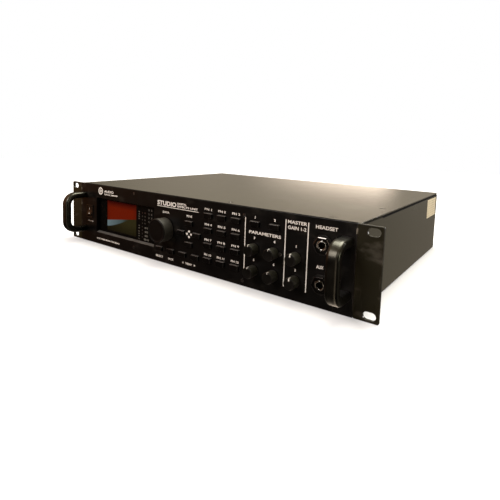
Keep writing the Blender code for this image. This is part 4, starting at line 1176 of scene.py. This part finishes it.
def make_xlr():
    """Two balanced sockets: round shells with three pins and a key, and corner screws."""
    name = "rear_xlr_block"
    front, back = depths_of(name)
    floor = back - XLR_DEPTH
    shell_end = floor - XLR_WALL
    pin = [(0, back - 3.5), (0.7, back - 3.6), (1.2, back - 4.6), (1.2, floor + 0.1)]
    shape, pins, screws = (bmesh.new() for _ in range(3))
    for x, z in XLR_CENTRES:
        dx, dz = XLR_SCREW_OFFSET
        corners = [(x - dx, z - dz), (x + dx, z + dz)]
        holes = [circle((x, z), XLR_BORE, 48), *(circle(corner, 1.75, 24) for corner in corners)]
        plate(shape, [around((x, z), XLR_FLANGE, 2.5), *holes], (REAR_FACE + 0.05, back), 0.4)
        turned(shape, (x, z), [(XLR_BORE, back - 0.2), (XLR_BORE, floor), (0, floor)])
        turned(shape, (x, z), [(11.6, REAR_FACE + 0.2), (11.6, shell_end), (0, shell_end)])
        slab(shape, (x, z - 8.6), (2.4, 2.0), (floor + 0.1, back - 1.5))
        for place in circle((x, z), 4.6, 3, math.radians(30)):
            turned(pins, place, pin, 20)
        for corner in corners:
            rear_screw(screws, corner, 1.6, back - 0.2)
    plate(shape, [around(middle_of(name), size_of(name), 1.0)], (front, shell_end - 0.1), 0.4)
    show("rear_xlr_shells", shape, "socket_plastic", stands_for=name)
    show("rear_xlr_pins", pins, "nickel")
    show("rear_xlr_screws", screws, "screw_black")


def make_midi():
    """Two five-pin sockets: a ring of metal round a dark face with five holes."""
    name = "rear_midi_block"
    front, back = depths_of(name)
    shape, rings = bmesh.new(), bmesh.new()
    for centre in MIDI_CENTRES:
        pins = circle(centre, 4.2, 8, math.pi)[:5]
        plate(shape, [circle(centre, 6.85, 48), *(circle(pin, 0.75, 12) for pin in pins)],
              (back - 3.0, back - 1.0), 0.15)
        plate(rings, [circle(centre, 7.7, 48), circle(centre, 6.9, 48)], (back - 3.0, back), 0.2)
    slab(shape, middle_of(name), size_of(name), (front, back - 3.2))
    show("rear_midi_faces", shape, "socket_plastic", stands_for=name)
    show("rear_midi_rings", rings, "nickel")


REAR_RULES = ((-74.0, -20.0), (5.0, 88.0), (118.0, 182.0))


def make_rear_details():
    """Rear prints, seen the right way round from behind, and the screws that hold the panel."""
    about = Matrix.Rotation(math.pi, 4, "Z") @ UPRIGHT
    depth = REAR_FACE + PRINT_THICKNESS
    labels = [("AC IN", (middle_of("power_inlet")[0], 62.0), 3.0)]
    labels += [(text, (x, 58.0), 3.0) for text, (x, _) in zip(("IN", "OUT"), MIDI_CENTRES)]
    labels += [(f"OUT {number}", (x, 66.0), 3.0) for number, (x, _) in enumerate(XLR_CENTRES, 1)]
    labels += [(str(number), (x, z + 11.0), 2.6) for number, (x, z) in enumerate(REAR_JACKS, 1)]
    shape, screws = bmesh.new(), bmesh.new()
    for text, centre, height in labels:
        lettering(shape, text, centre, height, weight=0.1, depth=depth, turn=about)
    for x0, x1 in REAR_RULES:
        box(shape, at(x0, REAR_FACE, 76.0), at(x1, depth, 76.6))
    for x in (-205.0, -92.0, 96.0, 205.0):
        for z in (8.0, 78.0):
            rear_screw(screws, (x, z), 2.8, REAR_FACE + 1.0)
    show("rear_print", shape, "faint_ink", sharp=60)
    show("rear_panel_screws", screws, "screw_black")


CONTROL_BOARD_FRONT = 12.0
BOARD_THICKNESS = 1.6


def finish_inner_parts():
    """Better materials for the CAD nodes that stay as they are."""
    top = cad_box("main_board")[0].z + BOARD_THICKNESS
    board_surface("main_board_surface", "z", top + 0.05, top + 0.15)
    board_y = FACE_Y + CONTROL_BOARD_FRONT
    board_surface("control_board_surface", "y", board_y - 0.05, board_y - 0.15)
    looks = {"main_board": "main_board_surface", "control_board": "control_board_surface"}
    looks.update({"power_supply": "zinc", "fan_frame": "socket_plastic", "fan_rotor": "socket_plastic"})
    looks.update({name: "steel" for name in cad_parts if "shaft" in name})
    for name, look in looks.items():
        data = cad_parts[name].data
        data.materials.clear()
        data.materials.append(LOOKS[look])


# ---- Studio ------------------------------------------------------------------------------


FLOOR_SIZE = 5.0
FLOOR_Z = -0.0003
# The floor's dimmed glow next to the unit, a painted shade round it.
FLOOR_GLOW = 0.36
FLOOR_GLOW_REACH = 50.0


def make_floor():
    """A pale floor that glows up to white away from the unit, and doesn't light it or reflect in it. Near
    the unit its glow is dimmed, a painted shade that deepens the shadow there.
    """
    bpy.ops.mesh.primitive_plane_add(size=FLOOR_SIZE, location=(0, 0, FLOOR_Z))
    floor = bpy.context.object
    floor.name = "floor"
    nodes = Nodes("pale_floor")
    aside = nodes.math("SUBTRACT", nodes.math("ABSOLUTE", nodes.x), PANEL_HALF * MM)
    ahead = nodes.math("SUBTRACT", FACE_Y * MM, nodes.y)
    behind = nodes.math("SUBTRACT", nodes.y, (FACE_Y + REAR_FACE) * MM)
    away = nodes.math("MAXIMUM", aside, nodes.math("MAXIMUM", ahead, behind))
    nodes.set(
        Base_Color=(0.38, 0.376, 0.376),
        Roughness=0.9,
        Specular_IOR_Level=0.0,
        Emission_Color=(1.0, 0.985, 0.985),
        Emission_Strength=nodes.ramp(away, 0, FLOOR_GLOW_REACH, FLOOR_GLOW, 1.0),
    )
    floor.data.materials.append(nodes.material)
    configured(floor, visible_glossy=False, visible_diffuse=False, visible_shadow=False)


# Each part of the room: the direction it lies in, where its glow starts and is full, its colour.
ROOM_DIM = (0.012, 0.011, 0.010)
ROOM = (
    ((0, 1, 0), -0.10, 0.55, (0.140, 0.120, 0.092)),
    ((-0.41, 0.91, 0.05), 0.80, 0.97, (0.135, 0.115, 0.095)),
    ((-0.855, -0.385, 0.345), 0.81, 0.91, (0.46, 0.18, 0.07)),
    ((0, 0, 1), 0.20, 0.75, (0.45, 0.35, 0.22)),
)
WINDOW_EDGE = math.radians(15.5)
WINDOW_GLOW = (2.75, 2.27, 1.84)


def make_world():
    """A dim room, paler behind the unit and above, reddish at its left, with a low window behind.

    The camera itself sees plain white.
    """
    room = Nodes("studio", bpy.data.worlds, "Generated")
    bpy.context.scene.world = room.material

    def along(axis, start, end):
        inputs = {0: room.place, 1: Vector(axis)}
        node = room.add("ShaderNodeVectorMath", inputs, operation="DOT_PRODUCT")
        return room.spread(node.outputs["Value"], 0, 1, start, end, "SMOOTHSTEP")

    def tinted(amount, colour, below):
        inputs = {0: colour, 1: amount, 2: below}
        return room.add("ShaderNodeVectorMath", inputs, operation="MULTIPLY_ADD").outputs["Vector"]

    total = ROOM_DIM
    for axis, start, end, colour in ROOM:
        total = tinted(along(axis, start, end), colour, total)
    leftward = (-math.cos(WINDOW_EDGE), -math.sin(WINDOW_EDGE), 0)
    sides = (along(leftward, -0.03, 0.045), along(leftward, 0.37, 0.0))
    total = tinted(room.product(*sides, along((0, 0, 1), 0.113, 0.087)), WINDOW_GLOW, total)
    lit = room.tree.nodes["Background"]
    room.feed(lit.inputs["Color"], total)
    seen = room.add("ShaderNodeBackground", {"Color": (1, 1, 1, 1)})
    camera_ray = room.add("ShaderNodeLightPath").outputs["Is Camera Ray"]
    inputs = {"Fac": camera_ray, 1: lit.outputs["Background"], 2: seen.outputs["Background"]}
    choose = room.add("ShaderNodeMixShader", inputs)
    room.feed(room.tree.nodes["World Output"].inputs["Surface"], choose.outputs["Shader"])


# Each light's place and aim in metres, its width, its power and its colour.
LIGHTS = {
    "ceiling": ((0.1, 0.35, 1.4), (0.0, -0.05, 0.0), 1.15, 46.0, (1.0, 0.99, 0.87)),
    "front_left": ((-0.5, -1.5, 1.1), (0.0, -0.15, 0.05), 0.8, 21.0, (1.0, 0.94, 0.92)),
    "front_right": ((0.9, -1.2, 1.0), (0.0, -0.15, 0.05), 0.6, 3.0, (1.0, 0.97, 0.93)),
    "side": ((1.5, 1.9, 0.5), (0.2, 0.1, 0.05), 0.6, 32.0, (1.0, 0.955, 0.92)),
    "strip": ((1.7, -0.1, 0.25), (0.2, -0.15, 0.05), 0.4, 4.0, (1.0, 0.99, 0.80)),
}


def make_lights():
    for name, (place, aim, size, power, colour) in LIGHTS.items():
        light = bpy.data.lights.new(name, "AREA")
        configured(light, shape="DISK", size=size, energy=power, color=colour)
        lamp = configured(bpy.data.objects.new(name, light), location=place, visible_camera=False)
        lamp.rotation_euler = (Vector(aim) - Vector(place)).to_track_quat("-Z", "Y").to_euler()
        bpy.context.scene.collection.objects.link(lamp)


CAMERA_PLACE = (0.3419, -0.50455, 0.1566)
CAMERA_HEADING = math.radians(36.6)
CAMERA_DIP = math.radians(5.45)
CAMERA_ROLL = math.radians(1.83)
CAMERA_LENS = 28.87
CAMERA_SHIFT = (0.0224, -0.1382)


def make_camera():
    camera = bpy.data.cameras.new("camera")
    configured(camera, sensor_width=36.0, lens=CAMERA_LENS, clip_start=0.01)
    camera.shift_x, camera.shift_y = CAMERA_SHIFT
    holder = bpy.data.objects.new("camera", camera)
    aim = Matrix.Rotation(CAMERA_HEADING, 4, "Z") @ Matrix.Rotation(math.pi / 2 - CAMERA_DIP, 4, "X")
    holder.matrix_world = Matrix.Translation(CAMERA_PLACE) @ aim @ Matrix.Rotation(CAMERA_ROLL, 4, "Z")
    bpy.context.scene.collection.objects.link(holder)
    bpy.context.scene.camera = holder


make_front_panel()
make_window_ledge()
for side, ear_name in ((-1, "ear_bracket_left"), (1, "ear_bracket_right")):
    make_ear(side, ear_name)
for handle_name in ("handle_left", "handle_right"):
    make_handle(handle_name)
make_cover()
make_tray()
make_rear_panel()
make_display()
for button_name in BUTTONS:
    make_button(button_name)
# The quick knobs' short pointer is partly a real mark and partly a painted glint at the top of the rim.
for knob_name in QUICK_KNOBS:
    make_knob(knob_name, 0.8, 4.4, 5.6)
for knob_name in OUTPUT_KNOBS:
    make_knob(knob_name, 1.3, 3.0, 5.7)
make_wheel()
make_jack(JACKS[0], 0.0, "neck_metal", "nickel")
make_jack(JACKS[1], math.radians(9), "dark_nickel", "neck_metal")
make_power_switch()
make_panel_print()
make_panel_screws()
make_side_label()
make_power_inlet()
make_rear_jacks()
make_xlr()
make_midi()
make_rear_details()
finish_inner_parts()
make_floor()
make_world()
make_lights()
make_camera()
bpy.context.scene.view_settings.view_transform = "Standard"
